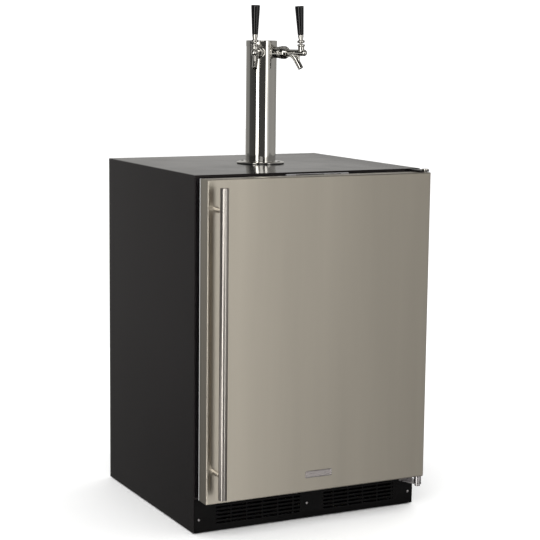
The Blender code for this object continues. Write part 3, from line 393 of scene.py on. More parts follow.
def handle_steel():
    """Satin bar, ground along its length, on stand-offs that are polished behind it. Behind the bar the stand-offs
    also get a near-white base colour, a painted highlight, and the bar gets a dark brown specular tint, painted
    shade on its edges.
    """
    colour = (0.49, 0.46, 0.43)
    material, tree, shader = new_material("handle_steel", colour, 0.30, Metallic=1.0)
    grain = noise(tree, (1800, 1800, 14), 3.0)
    vary_colour(tree, shader, noise(tree, (30, 30, 3)), scaled(colour, 0.95), scaled(colour, 1.03))
    bar_colour = shader.inputs["Base Color"].links[0].from_socket
    place = tree.nodes.new("ShaderNodeTexCoord")
    parts = tree.nodes.new("ShaderNodeSeparateXYZ")
    tree.links.new(place.outputs["Object"], parts.inputs[0])
    bar_back = span("handle_bar", Y)[1]
    behind = mapped(tree, parts.outputs["Y"], 0, 1, bar_back, bar_back + 0.001)
    finish = tree.nodes.new("ShaderNodeMix")
    tree.links.new(behind, finish.inputs["Factor"])
    tree.links.new(mapped(tree, grain, 0.27, 0.33), finish.inputs["A"])
    finish.inputs["B"].default_value = 0.14
    tree.links.new(finish.outputs["Result"], shader.inputs["Roughness"])
    face, edge = (tree.nodes.new("ShaderNodeMix") for _ in range(2))
    for mix in (face, edge):
        mix.data_type = "RGBA"
        tree.links.new(behind, mix.inputs["Factor"])
    tree.links.new(bar_colour, face.inputs[6])
    # Painted highlight: the stand-offs behind the bar get a near-white base colour. Their lower roughness above is
    # real polish.
    face.inputs[7].default_value = (0.95, 0.92, 0.88, 1)
    tree.links.new(face.outputs[2], shader.inputs["Base Color"])
    # Painted shade: the bar's dark brown specular tint darkens its reflections towards its sides. The stand-offs
    # keep a white tint.
    edge.inputs[6].default_value = (0.40, 0.34, 0.30, 1)
    edge.inputs[7].default_value = (1, 1, 1, 1)
    tree.links.new(edge.outputs[2], shader.inputs["Specular Tint"])
    relief(tree, shader, grain, 0.000002, 0.3)
    return material


def plunger_steel():
    """Turned stainless, with fine rings from the lathe."""
    colour = (0.62, 0.61, 0.58)
    material, tree, shader = new_material("plunger_steel", colour, 0.25, Metallic=1.0)
    grain = noise(tree, (900, 900, 900), 2.0)
    vary_colour(tree, shader, grain, scaled(colour, 0.93), scaled(colour, 1.03))
    vary_roughness(tree, shader, grain, 0.20, 0.32)
    return material


def polished_chrome():
    """Mirror finish with faint wiping marks."""
    colour = (0.70, 0.685, 0.65)
    material, tree, shader = new_material("polished_chrome", colour, 0.05, Metallic=1.0)
    smears = noise(tree, (60, 60, 22), 5.0)
    vary_colour(tree, shader, noise(tree, (12, 12, 12)), scaled(colour, 0.97), scaled(colour, 1.02))
    vary_roughness(tree, shader, smears, 0.03, 0.085)
    relief(tree, shader, noise(tree, (220, 220, 60), 2.0), 0.000004, 0.3)
    return material


def badge_metal():
    """Fine satin nickel with a short horizontal grain."""
    colour = (0.42, 0.39, 0.39)
    material, tree, shader = new_material("badge_metal", colour, 0.3, Metallic=1.0)
    grain = noise(tree, (70, 70, 2200), 3.0)
    vary_colour(tree, shader, grain, scaled(colour, 0.92), scaled(colour, 1.05))
    vary_roughness(tree, shader, grain, 0.24, 0.38)
    return material


def zinc_plate():
    """Bright zinc plating, slightly clouded."""
    colour = (0.47, 0.45, 0.46)
    material, tree, shader = new_material("zinc_plate", colour, 0.3, Metallic=1.0)
    vary_colour(tree, shader, noise(tree, (90, 90, 90), 4.0), scaled(colour, 0.88),
                scaled(colour, 1.05))
    vary_roughness(tree, shader, noise(tree, (160, 160, 160)), 0.22, 0.38)
    relief(tree, shader, noise(tree, (900, 900, 900), 2.0), 0.000008, 0.4)
    return material


def galvanised_steel():
    """Hot-dipped sheet with its spangle."""
    colour = (0.46, 0.47, 0.48)
    material, tree, shader = new_material("galvanised_steel", colour, 0.42, Metallic=1.0)
    spangle = cells(tree, 110)
    vary_colour(tree, shader, spangle, scaled(colour, 0.82), scaled(colour, 1.12))
    vary_roughness(tree, shader, spangle, 0.34, 0.50)
    return material


def condenser_metal():
    """Mill-finish aluminium with a light film of dust."""
    colour = (0.50, 0.51, 0.52)
    material, tree, shader = new_material("condenser_metal", colour, 0.4, Metallic=0.9)
    vary_colour(tree, shader, noise(tree, (45, 45, 45), 4.0), scaled(colour, 0.8),
                scaled(colour, 1.05))
    vary_roughness(tree, shader, noise(tree, (300, 300, 300)), 0.32, 0.5)
    return material


def moulded(name, colour, roughness, depth, frequency=1400, **constants):
    """Injection-moulded plastic with a spark-eroded texture."""
    material, tree, shader = new_material(name, colour, roughness, **constants)
    texture = noise(tree, (frequency,) * 3, 2.0)
    vary_colour(tree, shader, noise(tree, (25, 25, 25), 4.0), scaled(colour, 0.9),
                scaled(colour, 1.08))
    vary_roughness(tree, shader, texture, roughness - 0.06, roughness + 0.08)
    relief(tree, shader, texture, depth, 0.5)
    return material


def black_plastic():
    return moulded("black_plastic", (0.0020, 0.0018, 0.0019), 0.42, 0.00002, Specular_IOR_Level=0.08)


def handle_black():
    """Polished black phenolic."""
    colour = (0.004, 0.004, 0.0042)
    material, tree, shader = new_material("handle_black", colour, 0.08, IOR=1.42)
    vary_colour(tree, shader, noise(tree, (60, 60, 60)), scaled(colour, 0.85), scaled(colour, 1.2))
    vary_roughness(tree, shader, noise(tree, (140, 140, 140), 4.0), 0.06, 0.14)
    return material


def display_black():
    """Smoked window of the thermostat."""
    colour = (0.008, 0.008, 0.010)
    material, tree, shader = new_material("display_black", colour, 0.06, IOR=1.5)
    vary_colour(tree, shader, noise(tree, (35, 35, 35)), scaled(colour, 0.8), scaled(colour, 1.3))
    vary_roughness(tree, shader, noise(tree, (80, 80, 80), 4.0), 0.04, 0.12)
    return material


def grey_plastic():
    return moulded("grey_plastic", (0.20, 0.195, 0.195), 0.42, 0.00001)


def white_plastic():
    """Vacuum-formed white sheet, a little uneven in its shade and its gloss."""
    colour = (0.66, 0.665, 0.655)
    material, tree, shader = new_material("white_plastic", colour, 0.3, IOR=1.45)
    vary_colour(tree, shader, noise(tree, (5, 5, 5)), scaled(colour, 0.96), scaled(colour, 1.03))
    vary_roughness(tree, shader, noise(tree, (40, 40, 40)), 0.26, 0.38)
    return material


def lamp_lens():
    """Frosted clear diffuser."""
    material, tree, shader = new_material("lamp_lens", (0.86, 0.88, 0.88), 0.35,
                                          Transmission_Weight=0.35, IOR=1.45)
    vary_colour(tree, shader, noise(tree, (120, 120, 120)), (0.80, 0.83, 0.84), (0.90, 0.91, 0.91))
    vary_roughness(tree, shader, noise(tree, (800, 800, 800)), 0.28, 0.45)
    return material


def beer_tube():
    """Clear vinyl hose, slightly amber."""
    material, tree, shader = new_material("beer_tube", (0.80, 0.74, 0.60), 0.2,
                                          Transmission_Weight=0.5, IOR=1.5)
    vary_colour(tree, shader, noise(tree, (50, 50, 50)), (0.74, 0.68, 0.53), (0.84, 0.79, 0.67))
    vary_roughness(tree, shader, noise(tree, (300, 300, 300)), 0.15, 0.28)
    return material


def rubber():
    return moulded("rubber", (0.016, 0.016, 0.017), 0.68, 0.00003, 900)


def insulation():
    """Cut polyurethane foam."""
    colour = (0.66, 0.56, 0.33)
    material, tree, shader = new_material("insulation", colour, 0.9)
    bubbles = noise(tree, (700, 700, 700), 4.0)
    vary_colour(tree, shader, bubbles, scaled(colour, 0.75), scaled(colour, 1.1))
    vary_roughness(tree, shader, bubbles, 0.82, 0.96)
    relief(tree, shader, bubbles, 0.0003, 0.6)
    return material


def compressor_paint():
    """Thick satin black paint."""
    return moulded("compressor_paint", (0.014, 0.014, 0.015), 0.34, 0.00006, 350)


FINISHES = {make.__name__: make() for make in (
    black_steel, brushed_stainless, handle_steel, plunger_steel, polished_chrome, badge_metal,
    zinc_plate, galvanised_steel, condenser_metal, black_plastic, handle_black, display_black,
    grey_plastic, white_plastic, lamp_lens, beer_tube, rubber, insulation, compressor_paint)}


def paint_cad_nodes():
    """Give every CAD node its slot's material. Those that show are kept or replaced further on."""
    for part in frame["record"]["subparts"]:
        mesh = frame["nodes"][part["node"]].data
        mesh.materials.clear()
        mesh.materials.append(FINISHES[part["material_slot"]])


# Fasteners ----------------------------------------------------------------------------------------

def add_pan_head(builder, place, radius, height):
    """A pan-head screw, its head up along local Z, with the four wings of a cross recess."""
    profile = [(0, height), (radius * 0.55, height * 0.97), (radius * 0.85, height * 0.72),
               (radius, height * 0.25), (radius, 0), (0, 0)]
    head = bmesh.new()
    add_turned(head, profile, steps=32)
    mesh = mesh_of(head, "screw")
    for turn in (0, math.pi / 2):
        recess = bmesh.new()
        add_box(recess, (-radius * 0.55, radius * 0.55), (-radius * 0.11, radius * 0.11),
                (height * 0.35, height * 1.5), place=Matrix.Rotation(turn, 4, "Z"))
        mesh = cut(mesh, recess)
    assert mesh.polygons, "the screw head is empty"
    mesh.transform(place)
    builder.from_mesh(mesh)
    bpy.data.meshes.remove(mesh)


def show_screws(name, places, radius, height, body, slot, *nodes):
    builder = bmesh.new()
    for place in places:
        add_pan_head(builder, place, radius, height)
    return show_built(name, builder, body, slot, *nodes, angle=30)


# Cabinet outside ----------------------------------------------------------------------------------

FOLD = 0.0020
FACING_FRONT = Matrix.Rotation(math.pi / 2, 4, "X")
FACING_BACK = Matrix.Rotation(-math.pi / 2, 4, "X")
TOWER_PLACE = at(0, TOWER_Y, 0)
LINE_HOLE = 0.025


def fold_path(half_width, top, radius):
    """Front view of the folded sheet, up one side, over the top and down the other."""
    right = [(half_width, SIDE_BOTTOM)]
    right += arc((half_width - radius, top - radius), radius, 0, 90, 5)
    return right + [(-x, z) for x, z in right[::-1]]


def make_wrapper():
    """Two sides and top in one folded sheet, its edges broken by a fine bevel."""
    outer = fold_path(HALF_WIDTH, CABINET_TOP, FOLD)
    inner = fold_path(HALF_WIDTH - SHEET, CABINET_TOP - SHEET, FOLD - SHEET)
    edge = 0.0002
    outer_edge = fold_path(HALF_WIDTH - edge, CABINET_TOP - edge, FOLD - edge)
    rows = [(inner, 0), (outer_edge, 0), (outer, edge), (outer, CABINET_DEPTH - edge),
            (outer_edge, CABINET_DEPTH), (inner, CABINET_DEPTH)]
    builder = bmesh.new()
    loops = [[builder.verts.new((x, FRONT + y, z)) for x, z in path] for path, y in rows]
    loops.append(loops[0])
    bridge(builder, loops, closed_loops=False)
    for end in (0, -1):
        builder.faces.new([loop[end] for loop in loops[:-1]])
    hole = bmesh.new()
    add_turned(hole, [(0, CABINET_TOP + 0.01), (LINE_HOLE, CABINET_TOP + 0.01),
                      (LINE_HOLE, CABINET_TOP - 0.01), (0, CABINET_TOP - 0.01)], TOWER_PLACE)
    mesh = cut(mesh_of(builder, "cabinet_shell"), hole)
    show("cabinet_shell", mesh, "cabinet", "black_steel", "cabinet_wrapper")


KICK_TOP = span("kick_grille", Z)[1]
KICK_THICKNESS = 0.0025
VENT_ROWS = [0.0189 + row * 0.0094 for row in range(7)]
VENT_HEIGHT = 0.0050
RIB_PITCH = 0.0418
RIB_WIDTH = 0.0030
VENT_BANKS = ((-0.244, -0.018, -0.2048), (0.0465, 0.246, 0.0745))
KICK_SCREWS = {"left": (-0.2895, 0.034), "centre": (0.0, 0.040), "right": (0.2895, 0.034)}


def vent_columns(start, end, rib):
    """Stretches of open slot between a bank's ribs."""
    edges = [start]
    while rib < end - RIB_WIDTH:
        edges += [rib - RIB_WIDTH / 2, rib + RIB_WIDTH / 2]
        rib += RIB_PITCH
    edges.append(end)
    return list(zip(edges[0::2], edges[1::2]))


def make_kick_grille():
    """Moulded toe grille: slanted louvre blades behind rows of slots, and a few round holes."""
    builder = bmesh.new()
    add_box(builder, (-INSIDE, INSIDE), (FRONT, FRONT + KICK_THICKNESS), (SIDE_BOTTOM, KICK_TOP),
            0.0006, 2)
    slots = bmesh.new()
    for bank in VENT_BANKS:
        for left, right in vent_columns(*bank):
            for low in VENT_ROWS:
                outline = rounded_rectangle((left, right), (low, low + VENT_HEIGHT), 0.0012, 3)
                add_prism(slots, outline, -0.01, 0.01, at(0, 0, 0) @ FACING_FRONT)
    for row in range(5):
        dot = [(0, 0.01), (0.0011, 0.01), (0.0011, -0.01), (0, -0.01)]
        add_turned(slots, dot, at(0.2535, 0, VENT_ROWS[1] + 0.0025 + row * 0.0094) @ ALONG_Y,
                   steps=12)
    for x, z in KICK_SCREWS.values():
        hole = [(0, 0.01), (0.0020, 0.01), (0.0020, -0.01), (0, -0.01)]
        add_turned(slots, hole, at(x, 0, z) @ ALONG_Y, steps=16)
    show("toe_grille", cut(mesh_of(builder, "toe_grille"), slots), "cabinet", "black_plastic",
         "kick_grille")
    blades = bmesh.new()
    for start, end, _ in VENT_BANKS:
        for low in VENT_ROWS:
            middle = low + VENT_HEIGHT / 2
            tilt = at(0, KICK_THICKNESS + 0.0042, middle) @ Matrix.Rotation(math.radians(-38), 4, "X")
            add_box(blades, (start, end), (-0.0052, 0.0052), (-0.0005, 0.0005), 0.0002, 1,
                    place=tilt)
    show_built("toe_grille_louvres", blades, "cabinet", "black_plastic")
    for name, (x, z) in KICK_SCREWS.items():
        builder = bmesh.new()
        add_pan_head(builder, at(x, -GAP, z) @ FACING_FRONT, 0.0034, 0.0019)
        add_turned(builder, [(0, 0.0003), (0.0017, 0.0003), (0.0017, -0.0090), (0.0008, -0.0110),
                             (0, -0.0110)], at(x, 0, z) @ FACING_FRONT, steps=24)
        show_built(f"toe_screw_{name}", builder, "cabinet", "zinc_plate", f"kick_screw_{name}",
                   angle=30)


def make_feet():
    """Levelling feet: a round pad, a hexagon to turn it by and a threaded stem."""
    for node in ("foot_front_left", "foot_front_right", "foot_rear_left", "foot_rear_right"):
        low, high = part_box(node)
        middle = Matrix.Translation(((low.x + high.x) / 2, (low.y + high.y) / 2, 0))
        pad = rounded([(0, 0.0062), (0.0165, 0.0058), (0.0180, 0.0040), (0.0180, 0), (0, 0)], 0.0008)
        builder = bmesh.new()
        add_turned(builder, pad, middle, 48)
        hexagon = arc((0, 0), 0.0080, 0, 300, 5)
        add_prism(builder, hexagon, 0.0055, 0.0085, middle)
        thread = []
        for i in range(24):
            height = high.z - 0.0012 * i
            thread += [(0.0040, height), (0.0035, height - 0.0006)]
        add_turned(builder, [(0, high.z), *thread, (0.0040, 0.0084), (0, 0.0084)], middle, 24)
        show_built(f"levelling_{node}", builder, f"levelling_{node}", "black_plastic", node)


def soften(width, *nodes):
    """Round the edges of CAD nodes that keep their own mesh."""
    for node in nodes:
        modifier = frame["nodes"][node].modifiers.new("soft_edges", "BEVEL")
        modifier.width = width
        modifier.segments = 2
        modifier.limit_method = "ANGLE"
        modifier.angle_limit = math.radians(40)
        modifier.harden_normals = False


def make_front_frame():
    """Enamelled frame round the opening, its mouth rounded like the liner behind it."""
    x = span("front_frame", X)
    z = span("front_frame", Z)
    back = span("front_frame", Y)[1] - FRONT
    liner_x = span("inner_liner", X)
    liner_z = span("inner_liner", Z)
    builder = bmesh.new()
    loops = []
    soft = 0.0006
    rows = [(x, z, 0.0004, soft), (x, z, 0.0004, back), (liner_x, liner_z, 0.016, back),
            (liner_x, liner_z, 0.016, 0.003), (liner_x, liner_z, 0.016, 0.001)]
    for row_x, row_z, corner, y in rows:
        loops.append([builder.verts.new((px, FRONT + y, pz))
                      for px, pz in rounded_rectangle(row_x, row_z, corner, 6)])
    lip_x = (liner_x[0] - 0.001, liner_x[1] + 0.001)
    lip_z = (liner_z[0] - 0.001, liner_z[1] + 0.001)
    loops.append([builder.verts.new((px, FRONT, pz))
                  for px, pz in rounded_rectangle(lip_x, lip_z, 0.017, 6)])
    face_x = (x[0] + soft, x[1] - soft)
    face_z = (z[0] + soft, z[1] - soft)
    loops.append([builder.verts.new((px, FRONT, pz))
                  for px, pz in rounded_rectangle(face_x, face_z, 0.0004, 6)])
    loops.append(loops[0])
    bridge(builder, loops)
    show_built("mouth_frame", builder, "cabinet", "black_steel", "front_frame")


def make_gasket():
    """Magnetic seal: a soft bulb with a bellows fold and a flat foot in the door's groove."""
    low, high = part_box("door_gasket")
    back, front = high.y - FRONT, low.y - FRONT
    profile = [(0.0008, front), (0.0200, front), (0.0208, front + 0.0012), (0.0180, front + 0.0026),
               (0.0160, front + 0.0044), (0.0190, front + 0.0058), (0.0208, front + 0.0076),
               (0.0204, back - 0.0006), (0.0190, back), (0.0050, back), (0.0034, back - 0.0008),
               (0.0030, front + 0.0076), (0.0048, front + 0.0058), (0.0024, front + 0.0044),
               (0.0004, front + 0.0028), (0.0, front + 0.0010)]
    builder = bmesh.new()
    add_frame(builder, profile, (low.x, high.x), (low.z, high.z), 0.020, 8)
    show_built("door_seal", builder, "door", "rubber", "door_gasket", angle=50)


def make_control_panel():
    """Bezel with a sunken smoked window and two keys marked by a chevron down and a chevron up."""
    low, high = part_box("control_panel")
    front, back = low.y - FRONT, high.y - FRONT
    window_low, window_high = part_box("display_window")
    middle = (window_low.z + window_high.z) / 2
    builder = bmesh.new()
    add_box(builder, (low.x, high.x), (low.y, high.y), (low.z, high.z - 0.0024), 0.0012, 3)
    tool = bmesh.new()
    clear = 0.0004
    outline = rounded_rectangle((window_low.x - clear, window_high.x + clear),
                                (window_low.z - clear, window_high.z + clear), 0.0012, 4)
    add_prism(tool, outline, -0.0023, 0.01, at(0, front, 0) @ FACING_FRONT)
    for node in ("button_colder", "button_warmer"):
        key_low, key_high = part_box(node)
        outline = rounded_rectangle((key_low.x - clear, key_high.x + clear),
                                    (key_low.z - clear, key_high.z + clear), 0.0018, 4)
        add_prism(tool, outline, -0.0070, 0.01, at(0, front, 0) @ FACING_FRONT)
    show("thermostat_bezel", cut(mesh_of(builder, "bezel"), tool), "cabinet", "grey_plastic",
         "control_panel")

    builder = bmesh.new()
    outline = rounded_rectangle((window_low.x, window_high.x), (window_low.z, window_high.z),
                                0.0010, 4)
    place = at(0, window_low.y - FRONT, 0) @ FACING_FRONT
    add_prism(builder, outline, -(window_high.y - window_low.y), 0, place)
    show_built("thermostat_window", builder, "cabinet", "display_black", "display_window")

    for node, way in (("button_colder", -1), ("button_warmer", 1)):
        key_low, key_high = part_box(node)
        centre = (key_low.x + key_high.x) / 2
        face = key_low.y - FRONT
        builder = bmesh.new()
        outline = rounded_rectangle((key_low.x, key_high.x), (key_low.z, key_high.z), 0.0015, 5)
        place = at(0, face, 0) @ FACING_FRONT
        add_prism(builder, outline, -(key_high.y - key_low.y), -0.0004, place)
        marks = bmesh.new()
        arrow = [(centre + x, middle + way * z) for x, z in
                 ((-0.0026, -0.0014), (0, 0.0016), (0.0026, -0.0014), (0.0017, -0.0014),
                  (0, 0.0004), (-0.0017, -0.0014))]
        add_prism(marks, arrow, -0.0006, 0.0, place)
        mesh = union(mesh_of(builder, node), marks)
        show(f"key_{node}", mesh, node.replace("button_", "") + "_button", "black_plastic", node)


def make_lamp():
    """Diffuser with ribs across it."""
    low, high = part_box("interior_light")
    builder = bmesh.new()
    rib = 0.0024
    count = int((high.x - low.x) / rib)
    add_box(builder, (low.x, high.x), (low.y, high.y), (low.z + 0.0012, high.z), 0.0008, 2)
    for i in range(1, count - 1):
        x = low.x + (i + 0.5) * rib
        add_box(builder, (x - rib * 0.35, x + rib * 0.35), (low.y + 0.002, high.y - 0.002),
                (low.z, low.z + 0.0016), 0.0004, 1)
    show_built("lamp_diffuser", builder, "cabinet", "lamp_lens", "interior_light")


def make_keg_plate():
    """Steel plate with pressed ribs that carries the kegs."""
    low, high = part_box("keg_floor_plate")
    outline = rounded_rectangle((low.x, high.x), (low.y, high.y), 0.012, 6)
    builder = bmesh.new()
    add_prism(builder, outline, low.z, high.z - 0.0007)
    for i in range(11):
        x = -0.200 + 0.040 * i
        add_box(builder, (x - 0.010, x + 0.010), (low.y + 0.025, high.y - 0.025),
                (high.z - 0.0011, high.z), 0.0004, 2)
    show_built("keg_plate_ribbed", builder, "cabinet", "galvanised_steel", "keg_floor_plate")


def make_back_screws():
    """Hexagon-washer screws round the rear panel and the compressor cover."""
    x = HALF_WIDTH - 0.010
    back = span("rear_panel", Y)[1] - FRONT
    bay_top = span("compressor_cover", Z)[1]
    heights = [bay_top + 0.012 + 0.1535 * i for i in range(5)]
    places = [(side * x, z) for side in (-1, 1) for z in (*heights, 0.030, bay_top - 0.014)]
    places += [(-0.15 + 0.15 * i, CABINET_TOP - 0.012) for i in range(3)]
    places += [(-0.15 + 0.15 * i, bay_top - 0.014) for i in range(3)]
    builder = bmesh.new()
    for px, pz in places:
        place = at(px, back, pz) @ FACING_BACK
        washer = [(0, 0.0006), (0.0046, 0.0006), (0.0050, 0), (0, 0)]
        add_turned(builder, washer, place, 24)
        add_prism(builder, arc((0, 0), 0.0034, 0, 300, 5), 0.0004, 0.0016, place)
    show_built("rear_screws", builder, "cabinet", "zinc_plate", angle=30)


# Door outside -------------------------------------------------------------------------------------

def make_door_skin():
    """Folded steel pan: crisp bends at the front, and a hem that turns in at the back."""
    bend = 0.0030
    wall = 0.0012
    profile = [(0.020, DOOR_FRONT), (bend + 0.0006, DOOR_FRONT), *arc((bend, DOOR_FRONT + bend), bend, -90, -180, 6),
               (0.0002, PAN_BACK - 0.0002), (0.0004, PAN_BACK), (wall, PAN_BACK),
               (wall, DOOR_FRONT + wall), (0.020, DOOR_FRONT + wall)]
    builder = bmesh.new()
    add_frame(builder, profile, (DOOR_LEFT, DOOR_RIGHT), (DOOR_BOTTOM, DOOR_TOP), 0.0014, 4,
              closed=False)
    bmesh.ops.holes_fill(builder, edges=[edge for edge in builder.edges if edge.is_boundary])
    holes = bmesh.new()
    for low, high in ((DOOR_TOP - 0.015, DOOR_TOP + 0.01), (DOOR_BOTTOM - 0.01, DOOR_BOTTOM + 0.015)):
        add_turned(holes, [(0, high), (0.0044, high), (0.0044, low), (0, low)],
                   at(HINGE_X, HINGE_Y, 0), steps=32)
    mesh = cut(mesh_of(builder, "door_panel_front"), holes)
    show("door_panel_front", mesh, "door", "brushed_stainless", "door_skin")


def make_badge():
    """Blank name plate with a raised rim and a slightly sunk field."""
    low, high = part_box("badge_plate")
    back = high.y - FRONT
    front = low.y - FRONT
    profile = [(0.0000, back), (0.0000, front + 0.0006), (0.0003, front + 0.0002),
               (0.0008, front), (0.0014, front), (0.0018, front + 0.0002),
               (0.0021, front + 0.0005)]
    builder = bmesh.new()
    add_frame(builder, profile, (low.x, high.x), (low.z, high.z), 0.0030, 8, closed=False)
    bmesh.ops.holes_fill(builder, edges=[edge for edge in builder.edges if edge.is_boundary])
    show_built("name_plate_blank", builder, "door", "badge_metal", "badge_plate")


def make_handle():
    """Tube with inset end plugs, on two stand-offs that are coped to fit it."""
    low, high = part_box("handle_bar")
    radius = (high.x - low.x) / 2
    centre = ((low.x + high.x) / 2, (low.y + high.y) / 2 - FRONT)
    edge = 0.0007
    plug = 0.0012
    profile = [(0, high.z - plug), (radius - 0.0017, high.z - plug), (radius - 0.0016, high.z),
               (radius - edge, high.z), (radius - 0.0002, high.z - 0.0002), (radius, high.z - edge),
               (radius, low.z + edge), (radius - 0.0002, low.z + 0.0002), (radius - edge, low.z),
               (radius - 0.0016, low.z), (radius - 0.0017, low.z + plug), (0, low.z + plug)]
    builder = bmesh.new()
    add_turned(builder, profile, at(*centre, 0), 96)
    show_built("door_handle_tube", builder, "door", "handle_steel", "handle_bar")
    for end in ("lower", "upper"):
        node = f"handle_standoff_{end}"
        low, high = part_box(node)
        height = (low.z + high.z) / 2
        post = (high.z - low.z) / 2
        length = high.y - FRONT - centre[1]
        outline = rounded([(0, length), (post + 0.0006, length), (post + 0.0006, length - 0.0016),
                           (post, length - 0.0026), (post, 0.001), (post, 0), (0, 0)], 0.0005, 3)
        outline = [(min(r, post), h) for r, h in outline]
        builder = bmesh.new()
        add_turned(builder, outline, at(*centre, height) @ ALONG_Y, 64)
        tool = bmesh.new()
        add_turned(tool, [(0, 0.05), (radius + 0.0002, 0.05), (radius + 0.0002, -0.05), (0, -0.05)],
                   at(*centre, height), 96)
        groove = [(post + 0.001, 0.0305), (post - 0.0005, 0.0300), (post - 0.0005, 0.0295),
                  (post + 0.001, 0.0290)]
        add_turned(tool, groove, at(*centre, height) @ ALONG_Y, 64)
        mesh = cut(mesh_of(builder, node), tool)
        show(f"handle_post_{end}", mesh, "door", "handle_steel", node)


# Hinges -------------------------------------------------------------------------------------------

EYE_RADIUS = 0.0095


def make_hinge_plate(end, z, flange, slot):
    """Plate with a round eye for the pin, and a flange with two screws on the cabinet's front."""
    node = f"{end}_hinge_plate"
    left, right = span(node, X)
    outline = [(left, -GAP), *arc((HINGE_X, HINGE_Y), EYE_RADIUS, -150, -15, 24), (right, -GAP)]
    outline = [(x, FRONT + y) for x, y in outline]
    builder = bmesh.new()
    add_prism(builder, outline, *z)
    edges = [edge for edge in builder.edges if edge.calc_face_angle(0) > 1]
    bmesh.ops.bevel(builder, geom=edges, offset=0.0004, segments=2, profile=0.5, affect="EDGES",
                    clamp_overlap=True)
    web = bmesh.new()
    add_box(web, (left + 0.0004, right - 0.0004), (FRONT - 0.0030, FRONT - GAP - 0.0004), flange,
            0.0004, 2)
    mesh = union(mesh_of(builder, node), web)
    eye = bmesh.new()
    add_turned(eye, [(0, z[1] + 0.01), (0.0043, z[1] + 0.01), (0.0043, z[0] - 0.01),
                     (0, z[0] - 0.01)], at(HINGE_X, HINGE_Y, 0), 32)
    show(f"hinge_bracket_{end}", cut(mesh, eye), "cabinet", slot, node)
    heights = (sum(flange) / 2,)
    places = [at(x, -0.0030, height) @ FACING_FRONT for height in heights
              for x in (left + 0.010, right - 0.010)]
    show_screws(f"hinge_screws_{end}", places, 0.0030, 0.0014, "cabinet", slot)


def make_hinges():
    low, high = span("top_hinge_plate", Z)
    make_hinge_plate("top", (high - 0.0030, high), (low + 0.0005, high - 0.001), "black_steel")
    low, high = span("bottom_hinge_plate", Z)
    make_hinge_plate("bottom", (low, low + 0.0030), (low + 0.001, high - 0.0005), "zinc_plate")
    collar = 0.0090
    pin = 0.0040
    low, high = span("top_hinge_pin", Z)
    plate_top = span("top_hinge_plate", Z)[1] + GAP
    head = rounded([(0, high), (collar - 0.0004, high), (collar, high - 0.0008),
                    (collar, plate_top), (pin, plate_top)], 0.0006)
    builder = bmesh.new()
    add_turned(builder, [*head, (pin, low + 0.0005), (pin - 0.0005, low), (0, low)],
               at(HINGE_X, HINGE_Y, 0))
    show_built("hinge_pin_top", builder, "cabinet", "polished_chrome", "top_hinge_pin")
    low, high = span("bottom_hinge_pin", Z)
    bottom_plate = span("bottom_hinge_plate", Z)[0]
    upper = bottom_plate + 0.0030 + GAP
    lower = bottom_plate - GAP
    barrel = rounded([(pin, DOOR_BOTTOM - GAP), (collar, DOOR_BOTTOM - GAP), (collar, upper),
                      (pin, upper)], 0.0006)
    nut = rounded([(pin, lower), (0.0068, lower), (0.0068, low), (0, low)], 0.0006)
    builder = bmesh.new()
    add_turned(builder, [(0, high), (pin - 0.0005, high), (pin, high - 0.0005), *barrel, *nut],
               at(HINGE_X, HINGE_Y, 0))
    show_built("hinge_pin_bottom", builder, "cabinet", "zinc_plate", "bottom_hinge_pin")


# Tower --------------------------------------------------------------------------------------------

BOLT_CIRCLE = 0.0485
SHANK_HOLE = 0.0113


def tap_place(side):
    """Frame of a faucet: local +X points out along it from the tower's axis."""
    return TOWER_PLACE @ Matrix.Rotation(-math.pi / 2 + side * TAP_ANGLE, 4, "Z")


